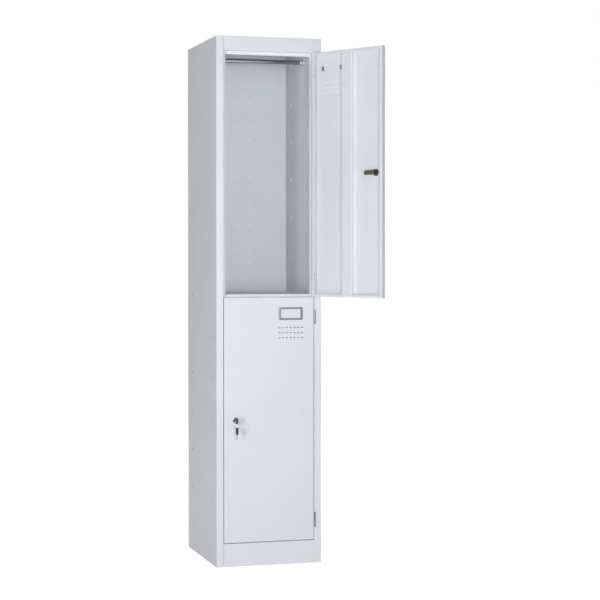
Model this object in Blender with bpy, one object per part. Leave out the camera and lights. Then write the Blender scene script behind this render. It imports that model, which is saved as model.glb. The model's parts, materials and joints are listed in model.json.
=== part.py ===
"""School locker, one wide and two high, of folded and powder-coated steel sheet.

The frame has +X to the right as one faces the doors, +Y to the back and +Z up. The origin is on the
floor, at the middle of the plinth's foot flange, halfway between the sides. The upper door stands open,
and the lower one is shut, with a key in its lock and a spare key on a ring.

Sheet parts are folded from one line each: the line is walked along the sheet's seen face, bends are
arcs, and every flat has its own spans along the fold, which leaves notches where pieces meet.
"""

import math

import bmesh
import bpy
from mathutils import Matrix, Vector

MM = 0.001

# Whole carcass
WIDTH = 380 * MM
DEPTH = 450 * MM
HEIGHT = 1850 * MM

# Sheet metal and the gaps between touching pieces
SHEET = 0.8 * MM
BEND_RADIUS = 0.8 * MM
BEND_STEPS = 2
SEAT_GAP = 0.3 * MM
CUT_OVERRUN = 2 * MM

# Front frame
UPRIGHT_WIDTH = 25 * MM
RECESS_DEPTH = 19 * MM
STOP_LIP = 12 * MM
FASCIA_HEIGHT = 50 * MM
PLINTH_HEIGHT = 81 * MM
FOOT_FLANGE = 22 * MM
REAR_FLANGE = 15 * MM

# Shelves
SHELF_ABOVE_SPLIT = 10.5 * MM
FLOOR_ABOVE_PLINTH = 12 * MM
SHELF_FRONT_DROP = 24 * MM
SHELF_HEM = 8 * MM
SHELF_REAR_DROP = 15 * MM

# Ventilation holes in the sides and the back
HOLE_SIDES = 8
SIDE_HOLE_RADIUS = 3 * MM
SIDE_HOLE_INSET = 70 * MM
SIDE_HOLE_LOWEST = 88 * MM
SIDE_HOLE_PITCH = 142.2 * MM
SIDE_HOLE_TOP_CLEAR = 40 * MM
BACK_HOLE_RADIUS = 1.8 * MM
BACK_HOLE_COLUMNS = 3
BACK_HOLE_COLUMN_PITCH = 48 * MM
BACK_HOLE_ROW_PITCH = 46 * MM
BACK_HOLE_TOP_CLEAR = 54 * MM
BACK_HOLE_BOTTOM_CLEAR = 110 * MM

# Hanging rods and their sockets
ROD_RADIUS = 8 * MM
ROD_WALL = 1.2 * MM
ROD_BELOW_CEILING = 60 * MM
SOCKET_FLANGE_RADIUS = 13 * MM
SOCKET_FLANGE = 1.6 * MM
SOCKET_WALL = 1.6 * MM
SOCKET_LENGTH = 13 * MM
SOCKET_FLOOR = 2 * MM

# Doors
DOOR_SIDE_GAP = 2 * MM
DOOR_END_GAP = 2 * MM
DOOR_SPLIT_GAP = 2 * MM
DOOR_THICKNESS = 18 * MM
DOOR_EDGE_RADIUS = 1.6 * MM
DOOR_EDGE_STEPS = 2
DOOR_SIDE_RETURN = 11 * MM
DOOR_END_RETURN = 9 * MM
DOOR_CORNER_HOLE_RADIUS = 2 * MM
DOOR_CORNER_HOLE_INSET = 21 * MM
UPPER_DOOR_OPEN = math.radians(120)

# Stiffening channel inside a door
STIFFENER_WIDTH = 47 * MM
STIFFENER_FLANGE = 8 * MM

# Vents in a door, and the label holder above them
VENT_CENTRE_FROM_HINGE_EDGE = 85 * MM
VENT_RADIUS = 2.4 * MM
VENT_COLUMNS = 7
VENT_COLUMN_PITCH = 13.8 * MM
VENT_ROWS = 3
VENT_ROW_PITCH = 17.9 * MM
VENT_FIRST_BELOW_TOP = 106.5 * MM
LABEL_WIDTH = 87 * MM
LABEL_HEIGHT = 44 * MM
LABEL_DEPTH = 2.2 * MM
LABEL_FACE = 0.8 * MM
LABEL_SIDE_BORDER = 7.5 * MM
LABEL_END_BORDER = 6 * MM
LABEL_CENTRE_BELOW_TOP = 57.5 * MM
LABEL_TAB_HEIGHT = 16 * MM
LABEL_TAB_THICKNESS = 0.8 * MM
LABEL_TAB_REACH = 6 * MM
LABEL_SLOT_CLEARANCE = 0.4 * MM

# Knuckle hinges
HINGE_END_INSET = 70 * MM
HINGE_LENGTH = 51 * MM
HINGE_RADIUS = 3.2 * MM
HINGE_LEAF = 1.2 * MM
HINGE_FRAME_LEAF_WIDTH = 20 * MM
HINGE_DOOR_LEAF_WIDTH = 15 * MM
HINGE_ROLL = math.radians(290)
HINGE_ROLL_STEPS = 12
HINGE_AXIS_BEYOND_JAMB = 1.5 * MM
KNUCKLE_GAP = 0.4 * MM
HINGE_NOTCH_CLEARANCE = 0.7 * MM
PIN_SIDES = 12
PIN_CLEARANCE = 0.3 * MM
PIN_CHAMFER = 0.4 * MM

# Cam lock
LOCK_FROM_FREE_EDGE = 40 * MM
ROUND_SIDES = 18
LOCK_FLANGE_RADIUS = 11 * MM
LOCK_FLANGE = 2.6 * MM
LOCK_FLANGE_CHAMFER = 0.8 * MM
LOCK_BARREL_RADIUS = 9 * MM
LOCK_BARREL_FLAT = 8 * MM
LOCK_HOLE_CLEARANCE = 0.4 * MM
NUT_ACROSS_FLATS = 23 * MM
NUT_THICKNESS = 4 * MM
PLUG_RADIUS = 6 * MM
PLUG_PROUD = 0.6 * MM
PLUG_POST = 6.5 * MM
CAM_CLEARANCE = 0.7 * MM
CAM_THICKNESS = 2 * MM
CAM_END_RADIUS = 8 * MM
CAM_REACH = 38 * MM
CAM_END_STEPS = 8
SCREW_RADIUS = 1.8 * MM
SCREW_DEPTH = 8 * MM
SCREW_HEAD_RADIUS = 4.5 * MM
SCREW_HEAD = 2.6 * MM

# Keys and their ring
KEY_THICKNESS = 2 * MM
KEY_HEIGHT = 7.6 * MM
KEY_IN_PLUG = 16 * MM
KEY_FREE_BLADE = 20 * MM
KEY_TIP_SLOPE = 2.4 * MM
KEY_BITS = 4
KEY_BIT_DEPTH = 1.4 * MM
KEY_TANG = 9 * MM
KEYWAY_CLEARANCE = 0.35 * MM
HEAD_LENGTH = 24 * MM
HEAD_WIDTH = 21 * MM
HEAD_THICKNESS = 6 * MM
HEAD_EDGE_RADIUS = 1.2 * MM
HEAD_NECK_SHARE = 0.62
HEAD_ROUND_STEPS = 14
HEAD_HOLE_RADIUS = 2.5 * MM
HEAD_HOLE_INSET = 4.8 * MM
RING_RADIUS = 13 * MM
RING_WIRE_RADIUS = 0.8 * MM
RING_STEPS = 20
RING_WIRE_SIDES = 6
RING_IN_HOLE = 0.9 * MM

# Places worked out from the sizes above
HALF_WIDTH = WIDTH / 2
FRONT = -FOOT_FLANGE / 2
BACK = FRONT + DEPTH
RECESS = FRONT + RECESS_DEPTH
OPENING_HALF = HALF_WIDTH - UPRIGHT_WIDTH
LIP_EDGE = OPENING_HALF - STOP_LIP
INSIDE_HALF = HALF_WIDTH - SHEET - SEAT_GAP
TOP_UNDERSIDE = HEIGHT - SHEET
FASCIA_BOTTOM = HEIGHT - FASCIA_HEIGHT
BACK_PANEL_REAR = BACK - SHEET - SEAT_GAP
BACK_PANEL_FRONT = BACK_PANEL_REAR - SHEET
MID_DEPTH = (FRONT + BACK) / 2

AXIS_X = OPENING_HALF + HINGE_AXIS_BEYOND_JAMB
AXIS_Y = FRONT + SHEET + SEAT_GAP + HINGE_LEAF - HINGE_RADIUS
DOOR_HINGE_EDGE = OPENING_HALF - DOOR_SIDE_GAP - AXIS_X
DOOR_WIDTH = (OPENING_HALF - DOOR_SIDE_GAP) * 2
DOOR_FREE_EDGE = DOOR_HINGE_EDGE - DOOR_WIDTH
DOOR_FACE = FRONT - AXIS_Y
DOOR_REAR = DOOR_FACE + DOOR_THICKNESS
DOOR_SKIN_BACK = DOOR_FACE + SHEET
DOOR_MIDDLE = (DOOR_HINGE_EDGE + DOOR_FREE_EDGE) / 2
DOOR_HEIGHT = (FASCIA_BOTTOM - PLINTH_HEIGHT - DOOR_END_GAP * 2 - DOOR_SPLIT_GAP) / 2
LOWER_DOOR_BASE = PLINTH_HEIGHT + DOOR_END_GAP
UPPER_DOOR_BASE = LOWER_DOOR_BASE + DOOR_HEIGHT + DOOR_SPLIT_GAP
SPLIT_CENTRE = LOWER_DOOR_BASE + DOOR_HEIGHT + DOOR_SPLIT_GAP / 2
SHELF_TOP = SPLIT_CENTRE + SHELF_ABOVE_SPLIT
FLOOR_TOP = PLINTH_HEIGHT + FLOOR_ABOVE_PLINTH

LOCK_X = DOOR_FREE_EDGE + LOCK_FROM_FREE_EDGE
CAM_FRONT = RECESS_DEPTH + SHEET + CAM_CLEARANCE
CAM_REAR = CAM_FRONT + CAM_THICKNESS
HEAD_NEAR = -(LOCK_FLANGE + SEAT_GAP + PLUG_PROUD) - (KEY_FREE_BLADE - KEY_IN_PLUG)
HEAD_HOLE_Y = HEAD_NEAR - HEAD_LENGTH + HEAD_HOLE_INSET

# Looks: base colour as linear red, green and blue, then roughness and metallic
POWDER_COAT = ((0.72, 0.75, 0.80), 0.45, 0.0)
ZINC_PLATE = ((0.42, 0.42, 0.38), 0.38, 0.9)
YELLOW_ZINC = ((0.36, 0.32, 0.16), 0.36, 0.9)
NICKEL = ((0.50, 0.50, 0.52), 0.30, 1.0)
CHROMED_TUBE = ((0.55, 0.56, 0.58), 0.18, 1.0)
BLACK_PLASTIC = ((0.012, 0.012, 0.013), 0.42, 0.0)


def finish(look, name):
    """A material of its own for one piece."""
    colour, roughness, metallic = look
    material = bpy.data.materials.new(name + "_finish")
    material.use_nodes = True
    shader = material.node_tree.nodes["Principled BSDF"]
    shader.inputs["Base Color"].default_value = (*colour, 1.0)
    shader.inputs["Roughness"].default_value = roughness
    shader.inputs["Metallic"].default_value = metallic
    return material


def make_object(name, bm, look, parent=None):
    """Turns a bmesh into a named object, with its faces pointing out and its round sides smooth."""
    bmesh.ops.recalc_face_normals(bm, faces=bm.faces)
    mesh = bpy.data.meshes.new(name)
    bm.to_mesh(mesh)
    bm.free()
    mesh.shade_smooth()
    mesh.set_sharp_from_angle(angle=math.radians(35))
    thing = bpy.data.objects.new(name, mesh)
    if look:
        mesh.materials.append(finish(look, name))
    bpy.context.scene.collection.objects.link(thing)
    thing.parent = parent
    return thing


def boolean(target, bm, name, operation="DIFFERENCE"):
    """Cuts a bmesh out of an object, or joins it on, through a hidden tool object."""
    tool = make_object(name, bm, None, target.parent)
    tool.hide_render = True
    tool.display_type = "WIRE"
    step = target.modifiers.new(name, "BOOLEAN")
    step.operation = operation
    step.solver = "EXACT"
    step.object = tool


def axis_empty(name, place, turn=0.0, parent=None):
    """An empty on a joint's axis, which carries the pieces that move with it."""
    empty = bpy.data.objects.new(name, None)
    bpy.context.scene.collection.objects.link(empty)
    empty.parent = parent
    empty.location = place
    empty.rotation_euler = (0, 0, turn)
    return empty


def box(low, high, radius=0.0, steps=1):
    """A box between two corners, with all its edges rounded where a radius is given."""
    bm = bmesh.new()
    bmesh.ops.create_cube(bm, size=1)
    middle = (Vector(low) + Vector(high)) / 2
    size = Vector(high) - Vector(low)
    bmesh.ops.transform(bm, matrix=Matrix.Translation(middle) @ Matrix.Diagonal((*size, 1)), verts=bm.verts)
    if radius:
        bmesh.ops.bevel(bm, geom=bm.edges, offset=radius, segments=steps, profile=0.5, affect="EDGES")
    return bm


def prism(outline, low, high, place):
    """Extrudes a closed outline from low to high. place turns (a, b, c) into a point, c along the extrusion."""
    bm = bmesh.new()
    base = [bm.verts.new(place(a, b, low)) for a, b in outline]
    face = bm.faces.new(base)
    extruded = bmesh.ops.extrude_face_region(bm, geom=[face])
    moved = [item for item in extruded["geom"] if isinstance(item, bmesh.types.BMVert)]
    way = Vector(place(0, 0, high)) - Vector(place(0, 0, low))
    bmesh.ops.translate(bm, verts=moved, vec=way)
    return bm


def turned(profile, sides, place, closed=False):
    """Revolves (radius, along) points about an axis. place turns (across, along, up) into a point.

    A closed profile is a ring's section. Otherwise both ends are on the axis.
    """
    bm = bmesh.new()
    rings = []
    for radius, along in profile:
        if radius == 0:
            rings.append([bm.verts.new(place(0, along, 0))] * sides)
            continue
        ring = []
        for step in range(sides):
            angle = math.tau * (step + 0.5) / sides
            ring.append(bm.verts.new(place(radius * math.cos(angle), along, radius * math.sin(angle))))
        rings.append(ring)
    if closed:
        rings.append(rings[0])
    for near, far in zip(rings, rings[1:]):
        for step in range(sides):
            following = (step + 1) % sides
            corners = [near[step], near[following], far[following], far[step]]
            bm.faces.new(list(dict.fromkeys(corners)))
    return bm


def round_holes(centres, radius, sides, low, high, place):
    """Several equal round cutters side by side in one mesh, each from low to high."""
    bm = bmesh.new()
    for centre in centres:
        outline = []
        for step in range(sides):
            angle = math.tau * (step + 0.5) / sides
            outline.append((centre[0] + radius * math.cos(angle), centre[1] + radius * math.sin(angle)))
        ends = [[bm.verts.new(place(a, b, c)) for a, b in outline] for c in (low, high)]
        bm.faces.new(ends[0])
        bm.faces.new(ends[1])
        for step in range(sides):
            following = (step + 1) % sides
            bm.faces.new((ends[0][step], ends[0][following], ends[1][following], ends[1][step]))
    return bm


def along_x(a, b, c):
    """A profile in the YZ plane, extruded along X."""
    return (c, a, b)


def along_y(a, b, c):
    """A profile in the XZ plane, extruded along Y."""
    return (a, c, b)


def along_z(a, b, c):
    """A profile in the XY plane, extruded along Z."""
    return (a, b, c)


def fold_stations(line, side):
    """Walks a folded line and gives (seen point, hidden point) pairs, and the flats that each cell lies on.

    line runs along the seen face. side is 1 where the metal lies left of the walk, and -1 where it lies
    right. A bend's arc keeps BEND_RADIUS on its inner face, so its seen radius depends on its turn.
    """
    points = [Vector(point) for point in line]
    stations = []
    cells = []
    for index, point in enumerate(points):
        before = (point - points[index - 1]).normalized() if index else None
        after = (points[index + 1] - point).normalized() if index < len(points) - 1 else None
        heading = before or after
        inward = Vector((-heading.y, heading.x)) * side
        turn = before.angle_signed(after) * -1 if before and after else 0.0
        if abs(turn) < math.radians(1):
            stations.append((point, point + inward * SHEET))
        else:
            way = math.copysign(1, turn)
            metal_inside = way == side
            radius = BEND_RADIUS + SHEET if metal_inside else BEND_RADIUS
            hidden_radius = radius - SHEET if metal_inside else radius + SHEET
            start = point - before * radius * math.tan(abs(turn) / 2)
            centre = start + Vector((-before.y, before.x)) * way * radius
            spoke = (start - centre).normalized()
            for step in range(BEND_STEPS + 1):
                ray = Matrix.Rotation(turn * step / BEND_STEPS, 2) @ spoke
                stations.append((centre + ray * radius, centre + ray * hidden_radius))
                if step:
                    cells.append((index - 1, index))
        if after:
            cells.append((index,))
    return stations, cells


def folded_sheet(name, line, side, spans, place, look=POWDER_COAT, parent=None):
    """A sheet part with bends. spans holds, for each flat, the (low, high) stretches that have metal.

    A bend has metal where both its flats have it.
    """
    stations, cells = fold_stations(line, side)
    rows = sorted({edge for flat in spans for span in flat for edge in span})

    def kept(column, row):
        if not (0 <= column < len(cells) and 0 <= row < len(rows) - 1):
            return False
        middle = (rows[row] + rows[row + 1]) / 2
        return all(any(low < middle < high for low, high in spans[flat]) for flat in cells[column])

    bm = bmesh.new()
    corners = {}

    def corner(station, row, layer):
        key = (station, row, layer)
        if key not in corners:
            corners[key] = bm.verts.new(place(*stations[station][layer], rows[row]))
        return corners[key]

    for column in range(len(cells)):
        for row in range(len(rows) - 1):
            if not kept(column, row):
                continue
            ring = [(column, row), (column + 1, row), (column + 1, row + 1), (column, row + 1)]
            for layer in (0, 1):
                bm.faces.new([corner(*at, layer) for at in ring])
            beside = [(column, row - 1), (column + 1, row), (column, row + 1), (column - 1, row)]
            for edge, neighbour in enumerate(beside):
                if not kept(*neighbour):
                    near, far = ring[edge], ring[(edge + 1) % len(ring)]
                    bm.faces.new((corner(*near, 0), corner(*far, 0), corner(*far, 1), corner(*near, 1)))
    return make_object(name, bm, look, parent)


def hinge_centres(door_base):
    """The heights of a door's two hinges."""
    return (door_base + DOOR_HEIGHT - HINGE_END_INSET, door_base + HINGE_END_INSET)


def side_panel(name, hand, notch_heights):
    """Side wall, upright, jamb and stop lip in one sheet. hand is 1 on the right and -1 on the left."""
    top = TOP_UNDERSIDE - SEAT_GAP
    notch_half = HINGE_LENGTH / 2 + HINGE_NOTCH_CLEARANCE
    notch_depth = AXIS_Y + HINGE_RADIUS + HINGE_NOTCH_CLEARANCE
    notch_side = AXIS_X + HINGE_RADIUS + HINGE_NOTCH_CLEARANCE
    line = [
        (hand * LIP_EDGE, RECESS),
        (hand * OPENING_HALF, RECESS),
        (hand * OPENING_HALF, notch_depth),
        (hand * OPENING_HALF, FRONT),
        (hand * notch_side, FRONT),
        (hand * HALF_WIDTH, FRONT),
        (hand * HALF_WIDTH, BACK),
        (hand * (HALF_WIDTH - REAR_FLANGE), BACK),
    ]
    edges = [0.0]
    for height in sorted(notch_heights):
        edges += [height - notch_half, height + notch_half]
    edges.append(top)
    whole = [(0.0, top)]
    notched = list(zip(edges[0::2], edges[1::2]))
    spans = [whole, whole, notched, notched, whole, whole, whole]
    panel = folded_sheet(name, line, hand, spans, along_z)
    rows = 1 + int((HEIGHT - SIDE_HOLE_TOP_CLEAR - SIDE_HOLE_LOWEST) / SIDE_HOLE_PITCH)
    columns = (FRONT + SIDE_HOLE_INSET, BACK - SIDE_HOLE_INSET)
    centres = [(y, SIDE_HOLE_LOWEST + SIDE_HOLE_PITCH * row) for y in columns for row in range(rows)]
    inner = hand * (HALF_WIDTH - SHEET - CUT_OVERRUN)
    outer = hand * (HALF_WIDTH + CUT_OVERRUN)
    holes = round_holes(centres, SIDE_HOLE_RADIUS, HOLE_SIDES, inner, outer, along_x)
    boolean(panel, holes, name + "_holes")


def top_panel():
    """Top sheet with the front fascia, its return and stop lip, and a flange down the back."""
    line = [
        (RECESS, FASCIA_BOTTOM - STOP_LIP),
        (RECESS, FASCIA_BOTTOM),
        (FRONT, FASCIA_BOTTOM),
        (FRONT, HEIGHT),
        (BACK, HEIGHT),
        (BACK, HEIGHT - REAR_FLANGE),
    ]
    lip = [(-(LIP_EDGE - SEAT_GAP), LIP_EDGE - SEAT_GAP)]
    front = [(-(OPENING_HALF - SEAT_GAP), OPENING_HALF - SEAT_GAP)]
    whole = [(-HALF_WIDTH, HALF_WIDTH)]
    rear_half = HALF_WIDTH - REAR_FLANGE - SEAT_GAP
    folded_sheet("top_panel", line, -1, [lip, front, front, whole, [(-rear_half, rear_half)]], along_x)


def shelf(name, top):
    """A folded floor: a front flange that both doors shut against, a hem under it, and a rear flange."""
    rear = BACK_PANEL_FRONT - SEAT_GAP
    line = [
        (RECESS + SHELF_HEM, top - SHELF_FRONT_DROP),
        (RECESS, top - SHELF_FRONT_DROP),
        (RECESS, top),
        (rear, top),
        (rear, top - SHELF_REAR_DROP),
    ]
    front = [(-(LIP_EDGE - SEAT_GAP), LIP_EDGE - SEAT_GAP)]
    whole = [(-INSIDE_HALF, INSIDE_HALF)]
    folded_sheet(name, line, -1, [front, front, whole, whole], along_x)


def plinth():
    """Front rail between the uprights, with a return at its top and a foot flange on the floor."""
    line = [
        (RECESS - SEAT_GAP, PLINTH_HEIGHT),
        (FRONT, PLINTH_HEIGHT),
        (FRONT, 0.0),
        (FRONT + FOOT_FLANGE, 0.0),
    ]
    half = OPENING_HALF - SEAT_GAP
    foot_half = LIP_EDGE - SEAT_GAP
    folded_sheet("plinth", line, 1, [[(-half, half)], [(-half, half)], [(-foot_half, foot_half)]], along_x)


def back_panel():
    """A flat sheet with a column of holes down its middle and one on each side."""
    top = TOP_UNDERSIDE - SEAT_GAP
    low = (-INSIDE_HALF, BACK_PANEL_FRONT, 0.0)
    panel = make_object("back_panel", box(low, (INSIDE_HALF, BACK_PANEL_REAR, top)), POWDER_COAT)
    highest = HEIGHT - BACK_HOLE_TOP_CLEAR
    rows = 1 + int((highest - BACK_HOLE_BOTTOM_CLEAR) / BACK_HOLE_ROW_PITCH)
    middle = (BACK_HOLE_COLUMNS - 1) / 2
    centres = [
        (BACK_HOLE_COLUMN_PITCH * (column - middle), highest - BACK_HOLE_ROW_PITCH * row)
        for column in range(BACK_HOLE_COLUMNS)
        for row in range(rows)
    ]
    near, far = BACK_PANEL_FRONT - CUT_OVERRUN, BACK_PANEL_REAR + CUT_OVERRUN
    boolean(panel, round_holes(centres, BACK_HOLE_RADIUS, HOLE_SIDES, near, far, along_y), "back_panel_holes")


def hanging_rod(level, ceiling):
    """A tube across a compartment, and a cup at each end of it on the side wall."""
    height = ceiling - ROD_BELOW_CEILING
    wall = INSIDE_HALF
    rod_half = wall - SOCKET_FLOOR - SEAT_GAP

    def across(radial, along, up):
        return (along, MID_DEPTH + radial, height + up)

    bore = ROD_RADIUS - ROD_WALL
    section = [(ROD_RADIUS, -rod_half), (ROD_RADIUS, rod_half), (bore, rod_half), (bore, -rod_half)]
    make_object(level + "_hanging_rod", turned(section, ROUND_SIDES, across, closed=True), CHROMED_TUBE)
    cup_bore = ROD_RADIUS + SEAT_GAP
    cup_outer = cup_bore + SOCKET_WALL
    for side_name, hand in (("left", -1), ("right", 1)):
        profile = [
            (0, hand * wall),
            (SOCKET_FLANGE_RADIUS, hand * wall),
            (SOCKET_FLANGE_RADIUS, hand * (wall - SOCKET_FLANGE)),
            (cup_outer, hand * (wall - SOCKET_FLANGE)),
            (cup_outer, hand * (wall - SOCKET_LENGTH)),
            (cup_bore, hand * (wall - SOCKET_LENGTH)),
            (cup_bore, hand * (wall - SOCKET_FLOOR)),
            (0, hand * (wall - SOCKET_FLOOR)),
        ]
        make_object(f"{level}_rod_socket_{side_name}", turned(profile, ROUND_SIDES, across), ZINC_PLATE)


def leaf_outline(width):
    """The section of a rolled hinge leaf about its axis. The leaf runs to the right of it, behind the axis."""
    middle_radius = HINGE_RADIUS - HINGE_LEAF / 2
    middle = [(Vector((width, middle_radius)), Vector((0, 1)))]
    for step in range(HINGE_ROLL_STEPS + 1):
        angle = math.pi / 2 + HINGE_ROLL * step / HINGE_ROLL_STEPS
        spoke = Vector((math.cos(angle), math.sin(angle)))
        middle.append((spoke * middle_radius, spoke))
    outer = [point + spoke * HINGE_LEAF / 2 for point, spoke in middle]
    inner = [point - spoke * HINGE_LEAF / 2 for point, spoke in middle]
    return [(point.x, point.y) for point in outer + inner[::-1]]


def knuckle_cutter(low, high):
    """The room for the other leaf's knuckle."""
    reach, beyond = HINGE_RADIUS + KNUCKLE_GAP, HINGE_RADIUS + CUT_OVERRUN
    return box((-beyond, -beyond, low), (reach, reach, high))


def hinge(name, height, door, door_base):
    """A leaf behind the upright, a pin, and a leaf on the door's side wall, rolled about one axis."""
    frame = axis_empty(name + "_axis", (AXIS_X, AXIS_Y, height))
    half = HINGE_LENGTH / 2
    knuckle = HINGE_LENGTH / 6
    outline = leaf_outline(HINGE_FRAME_LEAF_WIDTH)
    leaf = make_object(name + "_frame_leaf", prism(outline, -half, half, along_z), ZINC_PLATE, frame)
    room = knuckle + KNUCKLE_GAP / 2
    boolean(leaf, knuckle_cutter(-room, room), name + "_frame_leaf_room")

    radius = HINGE_RADIUS - HINGE_LEAF - PIN_CLEARANCE
    point = radius - PIN_CHAMFER
    profile = [(0, -half), (point, -half), (radius, PIN_CHAMFER - half)]
    profile += [(radius, half - PIN_CHAMFER), (point, half), (0, half)]
    pin = turned(profile, PIN_SIDES, lambda across, along, up: (across, up, along))
    make_object(name + "_pin", pin, ZINC_PLATE, frame)

    local = height - door_base
    outline = [(-y, x) for x, y in leaf_outline(HINGE_DOOR_LEAF_WIDTH)]
    leaf = make_object(name + "_door_leaf", prism(outline, local - half, local + half, along_z), ZINC_PLATE, door)
    inner, outer = knuckle - KNUCKLE_GAP / 2, half + CUT_OVERRUN
    for end, way in (("upper", 1), ("lower", -1)):
        low, high = sorted((local + way * inner, local + way * outer))
        boolean(leaf, knuckle_cutter(low, high), f"{name}_door_leaf_room_{end}")


def door_panel(level, door):
    """The door's pan: skin, four walls and return lips, with its vents, slots and lock hole."""
    name = level + "_door_panel"
    low = Vector((DOOR_FREE_EDGE, DOOR_FACE, 0.0))
    high = Vector((DOOR_HINGE_EDGE, DOOR_REAR, DOOR_HEIGHT))
    wall = Vector((SHEET, SHEET, SHEET))
    panel = make_object(name, box(low, high, DOOR_EDGE_RADIUS, DOOR_EDGE_STEPS), POWDER_COAT, door)
    inner_radius = DOOR_EDGE_RADIUS - SHEET
    boolean(panel, box(low + wall, high - wall, inner_radius, DOOR_EDGE_STEPS), name + "_hollow")
    rim = Vector((DOOR_SIDE_RETURN, 0, DOOR_END_RETURN))
    window_low = Vector((low.x, DOOR_REAR - SHEET - CUT_OVERRUN, low.z)) + rim
    window_high = Vector((high.x, DOOR_REAR + CUT_OVERRUN, high.z)) - rim
    boolean(panel, box(window_low, window_high), name + "_window")

    near, far = DOOR_FACE - CUT_OVERRUN, DOOR_SKIN_BACK + CUT_OVERRUN
    vent_middle = DOOR_HINGE_EDGE - VENT_CENTRE_FROM_HINGE_EDGE
    half_columns = (VENT_COLUMNS - 1) / 2
    vents = [
        (
            vent_middle + VENT_COLUMN_PITCH * (column - half_columns),
            DOOR_HEIGHT - VENT_FIRST_BELOW_TOP - VENT_ROW_PITCH * row,
        )
        for column in range(VENT_COLUMNS)
        for row in range(VENT_ROWS)
    ]
    boolean(panel, round_holes(vents, VENT_RADIUS, HOLE_SIDES, near, far, along_y), name + "_vents")
    lock_hole = LOCK_BARREL_RADIUS + LOCK_HOLE_CLEARANCE
    lock_place = [(LOCK_X, DOOR_HEIGHT / 2)]
    boolean(panel, round_holes(lock_place, lock_hole, ROUND_SIDES, near, far, along_y), name + "_lock_hole")

    tab_offset = LABEL_WIDTH / 2 - LABEL_TAB_THICKNESS / 2
    slot_half = LABEL_TAB_THICKNESS / 2 + LABEL_SLOT_CLEARANCE
    slot_half_height = LABEL_TAB_HEIGHT / 2 + LABEL_SLOT_CLEARANCE
    label_z = DOOR_HEIGHT - LABEL_CENTRE_BELOW_TOP
    for side_name, way in (("left", -1), ("right", 1)):
        x = vent_middle + way * tab_offset
        slot = box((x - slot_half, near, label_z - slot_half_height), (x + slot_half, far, label_z + slot_half_height))
        boolean(panel, slot, f"{name}_label_slot_{side_name}")

    corner_x = DOOR_FREE_EDGE + DOOR_SIDE_RETURN - DOOR_CORNER_HOLE_RADIUS
    corners = [(corner_x, DOOR_CORNER_HOLE_INSET), (corner_x, DOOR_HEIGHT - DOOR_CORNER_HOLE_INSET)]
    rear_near, rear_far = DOOR_REAR - SHEET - CUT_OVERRUN, DOOR_REAR + CUT_OVERRUN
    holes = round_holes(corners, DOOR_CORNER_HOLE_RADIUS, HOLE_SIDES, rear_near, rear_far, along_y)
    boolean(panel, holes, name + "_corner_holes")


def stiffener(level, door):
    """A hat channel down the middle of the door, between the skin and the return lips."""
    base = DOOR_SKIN_BACK + SEAT_GAP + SHEET
    crown = DOOR_REAR - SHEET - SEAT_GAP
    half = STIFFENER_WIDTH / 2
    line = [
        (DOOR_MIDDLE - half - STIFFENER_FLANGE, base),
        (DOOR_MIDDLE - half, base),
        (DOOR_MIDDLE - half, crown),
        (DOOR_MIDDLE + half, crown),
        (DOOR_MIDDLE + half, base),
        (DOOR_MIDDLE + half + STIFFENER_FLANGE, base),
    ]
    low = SHEET + SEAT_GAP
    spans = [[(low, DOOR_HEIGHT - low)]] * (len(line) - 1)
    folded_sheet(level + "_door_stiffener", line, -1, spans, along_z, POWDER_COAT, door)


def label_holder(level, door):
    """A shallow pressed frame whose two side tabs go through the door's skin."""
    name = level + "_label_holder"
    middle_x = DOOR_HINGE_EDGE - VENT_CENTRE_FROM_HINGE_EDGE
    middle_z = DOOR_HEIGHT - LABEL_CENTRE_BELOW_TOP
    rear = DOOR_FACE - SEAT_GAP
    front = rear - LABEL_DEPTH
    half = Vector((LABEL_WIDTH / 2, 0, LABEL_HEIGHT / 2))
    middle = Vector((middle_x, 0, middle_z))
    face = Vector((0, front, 0))
    holder = make_object(name, box(middle - half + face, middle + half + Vector((0, rear, 0))), NICKEL, door)
    wall = Vector((LABEL_TAB_THICKNESS, 0, LABEL_TAB_THICKNESS))
    pocket_front = Vector((0, front + LABEL_FACE, 0))
    pocket_rear = Vector((0, rear + CUT_OVERRUN, 0))
    pocket = box(middle - half + wall + pocket_front, middle + half - wall + pocket_rear)
    boolean(holder, pocket, name + "_pocket")
    border = Vector((LABEL_SIDE_BORDER, 0, LABEL_END_BORDER))
    window_front = Vector((0, front - CUT_OVERRUN, 0))
    window = box(middle - half + border + window_front, middle + half - border + pocket_rear)
    boolean(holder, window, name + "_window")
    tab_rear = DOOR_SKIN_BACK + LABEL_TAB_REACH
    for side_name, way in (("left", -1), ("right", 1)):
        outer = middle_x + way * half.x
        low_x, high_x = sorted((outer, outer - way * LABEL_TAB_THICKNESS))
        tab = box(
            (low_x, front + LABEL_FACE / 2, middle_z - LABEL_TAB_HEIGHT / 2),
            (high_x, tab_rear, middle_z + LABEL_TAB_HEIGHT / 2),
        )
        boolean(holder, tab, f"{name}_tab_{side_name}", "UNION")


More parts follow.
